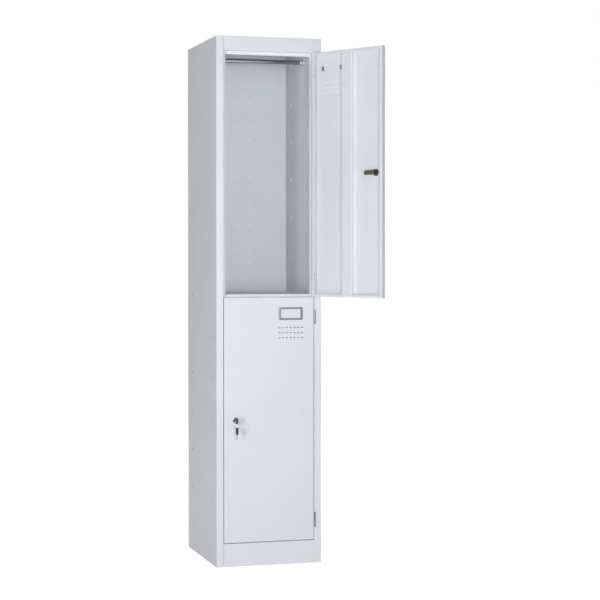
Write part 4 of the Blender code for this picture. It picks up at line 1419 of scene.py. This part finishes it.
    def stiffener(self) -> None:
        """A hat channel between the skin and the end lips."""
        middle = (self.low[0] + self.high[0]) / 2
        base = self.face + self.metal.thickness * 2 + self.metal.seat
        crown = self.rear - self.metal.thickness - self.metal.seat
        half, flange = self.stiffener_width / 2, self.stiffener_flange
        line = [
            (middle - half - flange, base),
            (middle - half, base),
            (middle - half, crown),
            (middle + half, crown),
            (middle + half, base),
            (middle + half + flange, base),
        ]
        section = folded_section(line, -1, self.metal)
        end = self.metal.thickness + self.metal.seat
        ends = (end, self.height - end)
        sheet = folded_sheet(section, Axis.Z, ends, self.metal, placement=self.placement)
        settle(sheet, f"{self.level}_door_channel", POWDER_COAT, self.body, f"{self.level}_door_stiffener")

    def label_holder(self) -> None:
        """A pressed frame with a window, and two tabs through the door's skin."""
        node = f"{self.level}_label_holder"
        settle(self.label.frame(self.placement), f"{self.level}_label_frame", DULL_NICKEL, self.body, node)
        for side, way in (("near", 1), ("far", -1)):
            tab = self.label.tab(way, self.face + self.metal.thickness, self.placement)
            settle(tab, f"{self.level}_label_tab_{side}", DULL_NICKEL, self.body, node)


@dataclass
class LabelHolder:
    """The pressed label frame on a door, in the door's own axes."""

    middle: Array
    rear: float
    half_width: float = 43.5 * MM
    half_height: float = 22 * MM
    depth: float = 2.2 * MM
    stock: float = 0.8 * MM
    side_border: float = 7.5 * MM
    end_border: float = 6 * MM
    corner_radius: float = 2.2 * MM
    outer_round: float = 1.1 * MM
    inner_round: float = 0.5 * MM
    round_steps: int = 4
    tab_reach: float = 6 * MM
    tab_foot: float = 4.6 * MM
    tab_half_height: float = 8 * MM

    def frame(self, placement: Placement) -> Solid:
        """The pressed frame.

        The frame's section runs up its outer wall, over a round shoulder, across the face, round the window's
        edge and back underneath. It is carried round the rectangle, each station drawn in by its distance.

        Args:
            placement: Where the door's own axes lie.

        Returns:
            The body.
        """
        border = self.side_border
        corners = [
            (self.stock, 0.0, 0.0),
            (0.0, 0.0, 0.0),
            (0.0, self.depth, self.outer_round),
            (border, self.depth, self.inner_round),
            (border, self.depth - self.stock, 0.0),
            (self.stock, self.depth - self.stock, 0.0),
            (self.stock, 0.0, 0.0),
        ]
        profile = rounded_profile(corners, self.round_steps)[:-1]
        half = np.array([self.half_width, self.half_height])
        low, high = self.middle - half, self.middle + half
        lines = (np.array([low[0], high[0]]), np.array([low[1], high[1]]))
        base, way = rectangle_border(low, high, self.corner_radius, lines, self.round_steps * 2)
        share = np.clip((profile[:, 0] - self.stock) / (border - self.stock), 0, 1)
        drawn_in = np.stack([profile[:, 0], profile[:, 0] - share * (border - self.end_border)], axis=-1)
        plane = inset_rectangle(low, high, self.corner_radius, base[:, None], way[:, None], drawn_in[None])
        depth = np.broadcast_to(self.rear - profile[:, 1], plane.shape[:2])
        return Solid().add(placement.apply(from_front(plane, depth)), True)

    def tab(self, side: int, skin_back: float, placement: Placement) -> Sheet:
        """A tab that goes through the door's skin and is bent over towards the hinge behind it.

        Args:
            side: 1 for the tab on the hinge side and -1 for the other.
            skin_back: Where the back of the door's skin lies.
            placement: Where the door's own axes lie.

        Returns:
            The tab's sheet.
        """
        outer = self.middle[0] + side * self.half_width
        x = min(outer, outer - side * self.stock)
        rear = skin_back + self.tab_reach
        line = [(x, self.rear - self.depth / 2), (x, rear), (x + self.tab_foot, rear)]
        stock = SheetMetal(thickness=self.stock)
        ends = (self.middle[1] - self.tab_half_height, self.middle[1] + self.tab_half_height)
        return folded_sheet(folded_section(line, -1, stock), Axis.Z, ends, stock, placement=placement)


@dataclass
class CamLock:
    """A cam lock: housing and nut on the door, and a plug that turns with its cam and screw."""

    level: str
    placement: Placement
    seat: float = 0.3 * MM
    sides: int = 96
    flange_radius: float = 11 * MM
    flange: float = 2.6 * MM
    flange_edge: float = 1.1 * MM
    flange_inner_edge: float = 0.3 * MM
    flange_back_edge: float = 0.2 * MM
    barrel_radius: float = 9 * MM
    barrel_flat: float = 8 * MM
    thread_pitch: float = 1.5 * MM
    thread_depth: float = 0.35 * MM
    nut_across_flats: float = 23 * MM
    nut_start: float = 1.1 * MM
    nut_thickness: float = 4 * MM
    nut_bore: float = 9.4 * MM
    nut_face_share: float = 0.97
    nut_chamfer: float = math.radians(60)
    nut_chamfer_steps: int = 6
    plug_radius: float = 6 * MM
    plug_proud: float = 0.6 * MM
    plug_edge: float = 0.5 * MM
    keyway_half: tuple[float, float] = (1.35 * MM, 4.15 * MM)
    keyway_depth: float = 16.35 * MM
    post_half: float = 3.25 * MM
    cam_front: float = 20.5 * MM
    cam_thickness: float = 2 * MM
    cam_radius: float = 8 * MM
    cam_reach: float = 38 * MM
    cam_edge: float = 0.4 * MM
    cam_edge_steps: int = 3
    cam_tip_rays: int = 17
    screw_radius: float = 1.8 * MM
    screw_depth: float = 8 * MM
    screw_head_radius: float = 4.5 * MM
    screw_head: float = 2.6 * MM
    screw_rim_share: float = 0.45
    screw_dome_power: float = 1.2
    screw_rings: int = 28
    recess_half_width: float = 0.65 * MM
    recess_half_length: float = 2.6 * MM
    recess_depth: float = 1.3 * MM
    recess_wall: float = 0.25 * MM
    recess_end_slope: float = 0.6

    def build(self) -> None:
        """Makes the housing's flange and barrel, the nut, the plug, the cam and its screw."""
        door, lock, screw = f"{self.level}_door", f"{self.level}_lock", f"{self.level}_cam_screw"
        settle(self.flange_ring(), f"{lock}_flange_ring", NICKEL, door, f"{lock}_housing")
        settle(self.barrel(), f"{lock}_barrel", YELLOW_ZINC, door, f"{lock}_housing")
        settle(self.nut(), f"{lock}_hexagon_nut", YELLOW_ZINC, door, f"{lock}_nut")
        # The plug's nickel is painted darker: painted shade.
        settle(self.plug(), f"{lock}_keyed_plug", NICKEL_PAINTED_SHADE, lock, f"{lock}_plug")
        settle(self.cam(), f"{lock}_cam_plate", YELLOW_ZINC, lock, f"{lock}_cam")
        settle(self.screw(), f"{screw}_pan_head", YELLOW_ZINC, lock, screw)

    def around(self, radii: Array, along: Array, angles: Array, closed: bool) -> Solid:
        """Carries a profile round the lock's axis.

        Args:
            radii: Radius for each station, or for each station and angle.
            along: Place of each station on the axis.
            angles: Angles round the axis.
            closed: Whether the last station joins the first.

        Returns:
            The body.
        """
        return Solid().add(revolve(radii, along, angles, Axis.Y, placement=self.placement), closed)

    def flange_ring(self) -> Solid:
        """The housing's flange, which lies on the door's face.

        Returns:
            The body.
        """
        bore, face, back = self.plug_radius + self.seat, -self.seat - self.flange, -self.seat
        corners = [
            (bore, back, 0.0),
            (bore, face, self.flange_inner_edge),
            (self.flange_radius, face, self.flange_edge),
            (self.flange_radius, back, self.flange_back_edge),
            (bore, back, 0.0),
        ]
        profile = rounded_profile(corners)[:-1]
        return self.around(profile[:, 0], profile[:, 1], circle_angles(self.sides), True)

    def barrel(self) -> Solid:
        """The housing's threaded barrel with two flats: its radius is the least of thread and flat.

        The thread's crest falls off on both sides as a triangle wave along the axis.

        Returns:
            The body.
        """
        bore, end = self.plug_radius + self.seat, self.cam_front - self.seat
        turns = np.arange(self.seat, end - self.thread_pitch / 2, self.thread_pitch / 2)
        root = self.barrel_radius - self.thread_depth
        crest = np.where(np.arange(len(turns)) % 2 == 0, root, self.barrel_radius)
        in_bore = np.array([bore, bore])
        radii = np.concatenate([in_bore, [self.barrel_radius], crest, [root]])
        along = np.concatenate([[end, -self.seat, -self.seat], turns, [end]])
        flat_half = math.acos(self.barrel_flat / self.barrel_radius)
        angles = circle_angles(self.sides, [flat_half + math.pi / 2, flat_half - math.pi / 2])
        table = np.repeat(radii[:, None], len(angles), axis=1)
        with np.errstate(divide="ignore"):
            limit = self.barrel_flat / np.abs(np.sin(angles))
        table[len(in_bore) :] = np.minimum(table[len(in_bore) :], limit)
        return self.around(table, along, angles, True)

    def nut(self) -> Solid:
        """A hexagon nut: its radius is the least of the hexagon's and of the chamfer's cone at each depth.

        Returns:
            The body.
        """
        angles = circle_angles(self.sides, [math.pi / 3 * side for side in range(6)])
        hexagon = hexagon_reach(self.nut_across_flats, angles + math.pi / 6)
        start, end = self.nut_start, self.nut_start + self.nut_thickness
        flat_circle = self.nut_across_flats / 2 * self.nut_face_share
        slope = math.tan(self.nut_chamfer)
        depth = np.linspace(0.0, (hexagon.max() - flat_circle) / slope, self.nut_chamfer_steps)
        cone = flat_circle + depth * slope
        caps = np.concatenate([[self.nut_bore], cone, cone[::-1], [self.nut_bore]])
        along = np.concatenate([[start], start + depth, end - depth[::-1], [end]])
        return self.around(np.minimum(caps[:, None], hexagon[None]), along, angles, True)

    def plug(self) -> Solid:
        """The plug: keyway floor, keyway walls, round face, shoulder, square post and the screw's bore.

        Returns:
            The body.
        """
        half_x, half_z = self.keyway_half
        angles = circle_angles(self.sides, [*corner_angles(half_x, half_z), *corner_angles(1.0, 1.0)])
        slot = rectangle_reach(half_x, half_z, angles)
        square = rectangle_reach(self.post_half, self.post_half, angles)
        face, radius = -self.seat - self.flange - self.plug_proud, self.plug_radius
        shoulder = self.cam_front - self.seat
        post_end = self.cam_front + self.cam_thickness - self.seat
        keyway_floor, bore_floor = face + self.keyway_depth, post_end - self.screw_depth + self.seat
        bore = self.screw_radius + self.seat
        front = [(0.0, face, 0.0), (radius, face, self.plug_edge), (radius, shoulder, 0.0)]
        stations = [
            (0.0, keyway_floor),
            (slot, keyway_floor),
            (slot, face),
            *rounded_profile(front)[1:-1].tolist(),
            (radius, shoulder),
            (square, shoulder),
            (square, post_end),
            (bore, post_end),
            (bore, bore_floor),
            (0.0, bore_floor),
        ]
        radii = np.stack([np.broadcast_to(reach, len(angles)) for reach, _ in stations])
        return self.around(radii, np.array([place for _, place in stations]), angles, False)

    def cam(self) -> Solid:
        """The cam: a plate between a square eye and a capsule.

        Seen from the eye, the capsule's border is its near circle, its straight side and its far circle.

        Returns:
            The body.
        """
        far = self.cam_reach - self.cam_radius
        tip = math.atan2(self.cam_radius, far)
        tip_rays = np.linspace(-tip, tip, self.cam_tip_rays)
        angles = circle_angles(self.sides, [*corner_angles(1.0, 1.0), *tip_rays.tolist()])
        cosine, sine = np.cos(angles), np.abs(np.sin(angles))
        with np.errstate(divide="ignore", invalid="ignore"):
            side = self.cam_radius / sine
            far_circle = far * cosine + np.sqrt(np.maximum(self.cam_radius**2 - (far * sine) ** 2, 0))
            capsule = np.where(cosine <= 0, self.cam_radius, np.where(side * cosine <= far, side, far_circle))
        eye = rectangle_reach(self.post_half + self.seat, self.post_half + self.seat, angles)
        front, rear, edge = self.cam_front, self.cam_front + self.cam_thickness, self.cam_edge
        quarter = quarter_arc(self.cam_edge_steps)
        drawn_in = np.concatenate([edge * (1 - np.sin(quarter)), edge * (1 - np.cos(quarter))])
        along = np.concatenate([front + edge * (1 - np.cos(quarter)), rear - edge + edge * np.sin(quarter)])
        radii = np.concatenate([eye[None], capsule[None] - drawn_in[:, None], eye[None]])
        return self.around(radii, np.concatenate([[front], along, [rear]]), angles, True)

    def screw(self) -> Solid:
        """A pan-head screw: the dome is sunk where a cross of two bars lies, with soft walls to the recess.

        Returns:
            The body.
        """
        rear = self.cam_front + self.cam_thickness
        start, seat = rear - self.screw_depth, rear + self.seat
        rings = np.linspace(0, 1, self.screw_rings) * math.pi / 2
        angles = circle_angles(self.sides)
        radius, rim = self.screw_head_radius * np.sin(rings), self.screw_rim_share
        dome = self.screw_head * (rim + (1 - rim) * np.cos(rings) ** self.screw_dome_power)
        x, z = np.abs(radius[:, None] * np.cos(angles)), np.abs(radius[:, None] * np.sin(angles))

        def bar(across: Array, along: Array) -> Array:
            """How far a place lies inside one bar of the cross, from 0 to 1 over its soft wall."""
            ends = (self.recess_half_length - along) * self.recess_end_slope
            return np.clip(np.minimum(self.recess_half_width - across, ends) / self.recess_wall + 0.5, 0, 1)

        head_along = seat + dome[:, None] - np.maximum(bar(x, z), bar(z, x)) * self.recess_depth
        shank_radii = [self.screw_head_radius, self.screw_radius, self.screw_radius, 0.0]
        shank_along = np.array([seat, seat, start, start])
        radii = np.concatenate([radius, shank_radii])[:, None]
        along = np.concatenate([head_along, np.repeat(shank_along[:, None], len(angles), axis=1)])
        local = Axis.Y.place(radii * np.cos(angles), along, radii * np.sin(angles))
        return Solid().add(self.placement.apply(local))


@dataclass
class Key:
    """A key: a flat blade with bits and grooves, and a moulded head with an eye.

    Its own axes are length from the head's mouth to its far end, width and thickness.
    """

    place: Callable[[Array], Array]
    blade_length: float = 20 * MM
    tang: float = 9 * MM
    height: float = 7.6 * MM
    thickness: float = 2 * MM
    tip_slope: float = 2.4 * MM
    tip_gap: float = 0.02 * MM
    bits: int = 4
    bit_depth: float = 1.4 * MM
    groove_depth: float = 0.45 * MM
    groove_half: float = 0.7 * MM
    groove_mouth_half: float = 1.05 * MM
    groove_below_middle: float = 0.95 * MM
    stations: int = 181
    head_length: float = 24 * MM
    head_width: float = 21 * MM
    head_thickness: float = 6 * MM
    head_edge: float = 1.4 * MM
    neck_share: float = 0.62
    eye_radius: float = 2.5 * MM
    eye_inset: float = 4.8 * MM
    eye_edge: float = 0.6 * MM
    dish_depth: float = 0.9 * MM
    dish_half_length: float = 5.2 * MM
    dish_half_width: float = 5.4 * MM
    dish_power: float = 0.8
    outline_points: int = 120
    far_arc_points: int = 60
    face_rings: int = 22
    edge_steps: int = 5

    def blade(self) -> Solid:
        """The blade: a grooved section whose top follows the bits, carried from the tang to the tip.

        Returns:
            The body.
        """
        tip, half, edge = self.blade_length, self.height / 2, self.thickness / 2
        shoulder = tip - self.tip_slope
        along = np.linspace(-self.tang, tip, self.stations)
        pitch = shoulder / (self.bits * 2 + 1)
        ends = shoulder - pitch * (2 * np.arange(self.bits)[::-1] + 1)
        bit_knots = np.stack([ends - pitch, ends - pitch / 2, ends], axis=1).reshape(-1)
        knots = np.concatenate([[-self.tang], bit_knots, [shoulder, tip]])
        tops = np.concatenate([[half], np.tile([half, half - self.bit_depth, half], self.bits), [half, 0.0]])
        top = np.interp(along, knots, tops)
        bottom = np.interp(along, [-self.tang, shoulder, tip], [-half, -half, -self.tip_gap])
        centre, floor, mouth = -self.groove_below_middle, self.groove_half, self.groove_mouth_half
        inner = edge - self.groove_depth
        widths = np.array([-half, centre - mouth, centre - floor, centre + floor, centre + mouth, half])
        sides = np.array([edge, edge, inner, inner, edge, edge])
        loop_width = np.concatenate([widths, widths[::-1]])
        loop_side = np.concatenate([sides, -sides[::-1]])
        held = np.clip(loop_width[None], bottom[:, None], np.maximum(top, bottom + self.tip_gap / 2)[:, None])
        rings = np.stack(np.broadcast_arrays(-along[:, None], held, loop_side[None]), axis=-1)
        return Solid().add(self.place(capped(rings)))

    def head_outline(self) -> Array:
        """The head's border: round at the far end, straight to a neck, with points evenly spaced along it.

        Returns:
            The border's points.
        """
        half = self.head_width / 2
        neck, centre = half * self.neck_share, self.head_length - half
        angles = np.linspace(math.pi / 2, -math.pi / 2, self.far_arc_points)
        far = np.stack([centre + half * np.cos(angles), half * np.sin(angles)], axis=-1)
        line = np.concatenate([[[0.0, 0.0], [0.0, neck]], far, [[0.0, -neck], [0.0, 0.0]]])
        walk = np.concatenate([[0.0], np.cumsum(np.linalg.norm(np.diff(line, axis=0), axis=1))])
        even = np.linspace(0, walk[-1], self.outline_points, endpoint=False)
        corners = walk[[1, -2]]
        even[[int(np.abs(even - corner).argmin()) for corner in corners]] = corners
        return np.stack([np.interp(even, walk, line[:, axis]) for axis in (0, 1)], axis=-1)

    def head(self) -> Solid:
        """The head: rings from the eye's edge to the border, sunk by a dish for the thumb, and a round rim.

        The dish is a smooth bump of cosine shape.

        Returns:
            The body.
        """
        outline = self.head_outline()
        way = np.roll(outline, -1, axis=0) - np.roll(outline, 1, axis=0)
        outward = np.stack([-way[:, 1], way[:, 0]], axis=-1) / np.linalg.norm(way, axis=1, keepdims=True)
        outward = -outward if (outward * (outline - outline.mean(axis=0))).sum() < 0 else outward
        eye = np.array([self.head_length - self.eye_inset, 0.0])
        spoke = outline - eye
        spoke /= np.linalg.norm(spoke, axis=1, keepdims=True)
        half, edge = self.head_thickness / 2, self.head_edge
        flat_border = outline - outward * edge
        hole_border = eye + spoke * (self.eye_radius + self.eye_edge)
        shares = np.linspace(0, 1, self.face_rings)[:, None, None]
        face = hole_border[None] * (1 - shares) + flat_border[None] * shares
        dish_centre = (self.head_length - self.eye_inset - self.eye_radius) / 2
        in_dish = (face - [dish_centre, 0.0]) / [self.dish_half_length, self.dish_half_width]
        reach = np.clip(np.linalg.norm(in_dish, axis=-1), 0, 1)
        sunk = self.dish_depth * np.cos(reach * math.pi / 2) ** self.dish_power
        quarter, hole_quarter = quarter_arc(self.edge_steps)[1:], quarter_arc(self.edge_steps)[:-1]
        rim = flat_border[None] + outward[None] * (edge * np.sin(quarter))[:, None, None]
        rim_height = np.broadcast_to((half - edge * (1 - np.cos(quarter)))[:, None], rim.shape[:2])
        hole_reach = self.eye_radius + self.eye_edge * (1 - np.cos(hole_quarter))
        hole = eye + spoke[None] * hole_reach[:, None, None]
        hole_rise = half - self.eye_edge * (1 - np.sin(hole_quarter))
        hole_height = np.broadcast_to(hole_rise[:, None], hole.shape[:2])
        plane = np.concatenate([hole, face, rim])
        height = np.concatenate([hole_height, half - sunk, rim_height])[..., None]
        front, back = (np.concatenate([plane, hand * height], axis=-1) for hand in (1, -1))
        return Solid().add(self.place(np.concatenate([front, back[::-1]])), True)


@dataclass
class KeySet:
    """The key in the lower lock, the split ring through its eye, and the spare key on the ring."""

    lock: Placement
    head_near: float = -7.5 * MM
    ring_radius: float = 13 * MM
    ring_in_hole: float = 0.9 * MM
    wire_half: tuple[float, float] = (0.75 * MM, 0.36 * MM)
    ring_turns: float = 2.0
    ring_steps: int = 240
    wire_steps: int = 4
    turn_spacing: float = 1.02
    jog_share: float = 0.1

    def build(self) -> None:
        """Makes both keys and the ring."""

        def seated(local: Array) -> Array:
            """The inserted key's axes: length out of the lock, from the head's mouth, and width upwards."""
            out = self.head_near - local[..., 0]
            return self.lock.apply(Axis.Y.place(local[..., 2], out, local[..., 1]))

        key = Key(seated)
        hole_y = self.head_near - key.head_length + key.eye_inset
        centre = np.array([0.0, hole_y, -self.ring_in_hole - self.ring_radius])
        mouth = centre[2] - self.ring_radius + key.eye_inset - self.ring_in_hole - key.head_length

        def hanging(local: Array) -> Array:
            """The spare key's axes: length upwards, from the head's mouth at its lower end."""
            out, up = hole_y + local[..., 1], mouth + local[..., 0]
            return self.lock.apply(Axis.Y.place(local[..., 2], out, up))

        keys = ((key, "inserted", "lower_lock", "key"), (Key(hanging), "hanging", "spare_key", "spare_key"))
        for made, way, body, node in keys:
            settle(made.blade(), f"{way}_key_blade", NICKEL, body, f"{node}_blade")
            settle(made.head(), f"{way}_key_bow", BLACK_PLASTIC, body, f"{node}_head")
        settle(self.ring(centre), "split_ring", NICKEL, "key_ring", "key_ring")

    def ring(self, centre: Array) -> Solid:
        """Two turns of flattened wire: a circle that steps over along its axis in a short jog between them.

        Args:
            centre: The ring's middle in the lock's axes.

        Returns:
            The body.
        """
        turn = np.linspace(0, self.ring_turns, self.ring_steps)
        angle = math.tau * turn - math.pi / 2
        jog = np.clip((turn - self.ring_turns / 2) / self.jog_share + 0.5, 0, 1)
        half_radial, half_axial = self.wire_half
        offset = half_axial * self.turn_spacing * (2 * jog * jog * (3 - 2 * jog) - 1)
        profile = rounded_wire(half_radial, half_axial, self.wire_steps)
        reach = self.ring_radius + profile[None, :, 0]
        across = reach * np.cos(angle)[:, None]
        up = reach * np.sin(angle)[:, None]
        along = offset[:, None] + profile[None, :, 1]
        rings = Axis.Y.place(across, along, up) + centre
        return Solid().add(self.lock.apply(capped(rings)))


def rounded_wire(half_wide: float, half_thick: float, steps: int) -> Array:
    """A flattened wire's section: two half circles joined by flats.

    Args:
        half_wide: Half its width.
        half_thick: Half its thickness.
        steps: Faces in a quarter circle.

    Returns:
        The closed section's points.
    """
    angles = np.arange(2 * steps + 1) / (2 * steps) * math.pi - math.pi / 2
    middle = half_wide - half_thick
    right = np.stack([middle + half_thick * np.cos(angles), half_thick * np.sin(angles)], axis=-1)
    return np.concatenate([right, -right])


# Camera, lamps and floor


@dataclass(frozen=True)
class SoftBox:
    """A rectangular lamp round the locker, facing it. Its azimuth is in degrees from the front."""

    name: str
    azimuth: float
    distance: float
    height: float
    width: float
    tall: float
    level: float


@dataclass
class Studio:
    """A plain white studio: the camera of the photograph, soft boxes, a white surround, and a pale floor."""

    eye: Point = (-1.5920, -5.8225, 1.0935)
    yaw: float = math.radians(-16.103)
    pitch: float = math.radians(-0.695)
    roll: float = math.radians(0.027)
    focal_pixels: float = 1719.733
    middle_pixels: tuple[float, float] = (292.702, 274.322)
    frame_pixels: float = 600.0
    sensor: float = 36.0
    target: Point = (0.05, 0.0, 0.95)
    soft_boxes: tuple[SoftBox, ...] = (
        SoftBox("front_box", azimuth=9, distance=5.0, height=1.1, width=1.2, tall=1.4, level=0.47),
        SoftBox("front_high_box", azimuth=10, distance=5.0, height=2.4, width=1.4, tall=1.2, level=0.07),
        SoftBox("side_box", azimuth=50, distance=5.0, height=0.9, width=1.2, tall=1.2, level=0.37),
        SoftBox("back_box", azimuth=-135, distance=5.0, height=1.3, width=2.0, tall=1.6, level=0.7),
        SoftBox("top_box", azimuth=180, distance=1.0, height=4.6, width=1.4, tall=1.4, level=0.21),
    )
    fill_colour: str = "#FFFFFF"
    fill_strength: float = 0.03
    floor_half: float = 8.0
    floor_colour: str = "#EDEEF0"
    floor_seen_share: float = 0.6
    # The floor's glow, dimmer near the locker as painted shade and full far away, and the distances over
    # which it rises.
    floor_glow_with_painted_shade: tuple[float, float] = (0.84, 1.0)
    painted_shade_reach: tuple[float, float] = (0.5, 2.6)

    def build(self) -> None:
        """Sets up everything round the object."""
        bpy.context.scene.view_settings.view_transform = "Standard"
        self.camera()
        for box in self.soft_boxes:
            self.lamp(box)
        self.world()
        self.floor()

    def camera(self) -> None:
        """The camera, turned level to the right, with its shift from the photograph's middle point."""
        data = bpy.data.cameras.new("camera")
        data.sensor_width = self.sensor
        data.lens = self.sensor * self.focal_pixels / self.frame_pixels
        data.shift_x = (self.frame_pixels / 2 - self.middle_pixels[0]) / self.frame_pixels
        data.shift_y = (self.middle_pixels[1] - self.frame_pixels / 2) / self.frame_pixels
        camera = bpy.data.objects.new("camera", data)
        camera.location = self.eye
        camera.rotation_euler = (math.pi / 2 + self.pitch, self.roll, self.yaw)
        bpy.context.scene.collection.objects.link(camera)
        bpy.context.scene.camera = camera

    def lamp(self, box: SoftBox) -> None:
        """Sets up a soft box.

        A level of 1 lights a white card at the locker, square to the lamp, up to white: an irradiance of pi
        from an even emitter of power P at distance d asks for P = pi * pi * d * d.

        Args:
            box: The soft box.
        """
        target, azimuth = Vector(self.target), math.radians(box.azimuth)
        away = Vector((-math.sin(azimuth), -math.cos(azimuth), 0.0)) * box.distance
        place = Vector((target.x + away.x, away.y, box.height))
        way = target - place
        data = bpy.data.lights.new(box.name, "AREA")
        data.shape = "RECTANGLE"
        data.size, data.size_y = box.width, box.tall
        data.energy = box.level * (math.pi * way.length) ** 2
        lamp = bpy.data.objects.new(box.name, data)
        lamp.visible_camera = False
        lamp.location = place
        lamp.rotation_euler = way.to_track_quat("-Z", "Y").to_euler()
        bpy.context.scene.collection.objects.link(lamp)

    def seen(self, tree: bpy.types.NodeTree) -> bpy.types.NodeSocket:
        """1 for rays from the camera, from a mirror and through glass, and 0 for those that light the scene.

        Args:
            tree: The tree that gets the nodes.

        Returns:
            The value's socket.
        """
        path = add_node(tree, "ShaderNodeLightPath").outputs
        found = path["Is Camera Ray"]
        for ray in ("Is Glossy Ray", "Is Transmission Ray"):
            found = add_node(tree, "ShaderNodeMath", {0: found, 1: path[ray]}, operation="MAXIMUM").outputs[0]
        return found

    def world(self) -> None:
        """An even fill, which is seen as plain white."""
        world = bpy.data.worlds.new("studio")
        bpy.context.scene.world = world
        world.use_nodes = True
        tree = world.node_tree
        tree.nodes.clear()
        fill_inputs = {"Color": linear_colour(self.fill_colour), "Strength": self.fill_strength}
        fill = add_node(tree, "ShaderNodeBackground", fill_inputs).outputs["Background"]
        white = add_node(tree, "ShaderNodeBackground", {"Color": (1, 1, 1, 1), "Strength": 1.0})
        white = white.outputs["Background"]
        mixed = add_node(tree, "ShaderNodeMixShader", {0: self.seen(tree), 1: fill, 2: white})
        add_node(tree, "ShaderNodeOutputWorld", {"Surface": mixed.outputs["Shader"]})

    def floor(self) -> None:
        """A pale painted floor.

        Seen directly it glows, with painted shade near the locker, where the glow is dimmer, and fully white
        away from it. It keeps a share of its own shade.
        """
        half = self.floor_half
        points = np.array([[-half, -half, 0], [half, -half, 0], [half, half, 0], [-half, half, 0]])
        mesh = bpy.data.meshes.new("floor")
        mesh.from_pydata(points.tolist(), [], [[0, 1, 2, 3]])
        material = bpy.data.materials.new("studio_floor_paint")
        material.use_nodes = True
        tree = material.node_tree
        tree.nodes.clear()
        paint = add_node(tree, "ShaderNodeBsdfDiffuse", {"Color": linear_colour(self.floor_colour)})
        shade_colour = (*(self.floor_seen_share,) * 3, 1)
        shade = add_node(tree, "ShaderNodeBsdfDiffuse", {"Color": shade_colour})
        place = add_node(tree, "ShaderNodeTexCoord").outputs["Object"]
        away = add_node(tree, "ShaderNodeVectorMath", {0: place}, operation="LENGTH").outputs["Value"]
        # The glow is dimmer near the locker: painted shade round its foot.
        near, far = self.painted_shade_reach
        dim, full = self.floor_glow_with_painted_shade
        reach = {"Value": away, "From Min": near, "From Max": far, "To Min": dim, "To Max": full}
        rise = add_node(tree, "ShaderNodeMapRange", reach).outputs["Result"]
        glow = add_node(tree, "ShaderNodeEmission", {"Color": (1, 1, 1, 1), "Strength": rise}).outputs[0]
        direct = add_node(tree, "ShaderNodeAddShader", {0: shade.outputs["BSDF"], 1: glow})
        shaders = {0: self.seen(tree), 1: paint.outputs["BSDF"], 2: direct.outputs["Shader"]}
        mixed = add_node(tree, "ShaderNodeMixShader", shaders)
        add_node(tree, "ShaderNodeOutputMaterial", {"Surface": mixed.outputs["Shader"]})
        mesh.materials.append(material)
        floor = bpy.data.objects.new("floor", mesh)
        bpy.context.scene.collection.objects.link(floor)


def door_placements(joints: list[dict]) -> dict[str, Placement]:
    """Where each door's own axes lie: at its joint, on its bottom edge, turned by how far it stands open.

    Args:
        joints: The frame's joints, whose lower limit is the way back to shut.

    Returns:
        Placements by level.
    """
    found = {}
    for level in ("upper", "lower"):
        joint = next(joint for joint in joints if joint["name"] == f"{level}_door_swing")
        base = float(node_box(f"{level}_door_panel")[0][2])
        x, y = joint["pos_m"][:2]
        found[level] = Placement((x, y, base), -math.radians(joint["range_deg"][0]))
    return found


def main() -> None:
    """Loads the frame and dresses every part."""
    logging.basicConfig(level=logging.INFO, format="%(message)s")
    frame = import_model()
    Studio().build()
    placements = door_placements(frame["joints"])
    shut = placements["lower"]
    low, high = (corner - np.array(shut.origin) for corner in node_box("lower_door_panel"))
    doors = {level: Door(level, placement, low, high) for level, placement in placements.items()}
    heights = [
        door.placement.origin[2] + height for door in doors.values() for height in door.hinge_heights()
    ]
    Carcass().build(heights)
    for level, door in doors.items():
        HangingRod(level).build()
        door.build()
        for end, height in zip(("top", "bottom"), door.hinge_heights()):
            x, y, base = door.placement.origin
            name, axis = f"{level}_door_{end}_hinge", (x, y, base + height)
            Hinge(name, axis, door.placement, door.body, height).build()
        lock = door.placement.inner((door.lock_x, door.face, door.height / 2))
        CamLock(level, lock).build()
        if level == "lower":
            KeySet(lock).build()


if __name__ == "__main__":
    main()
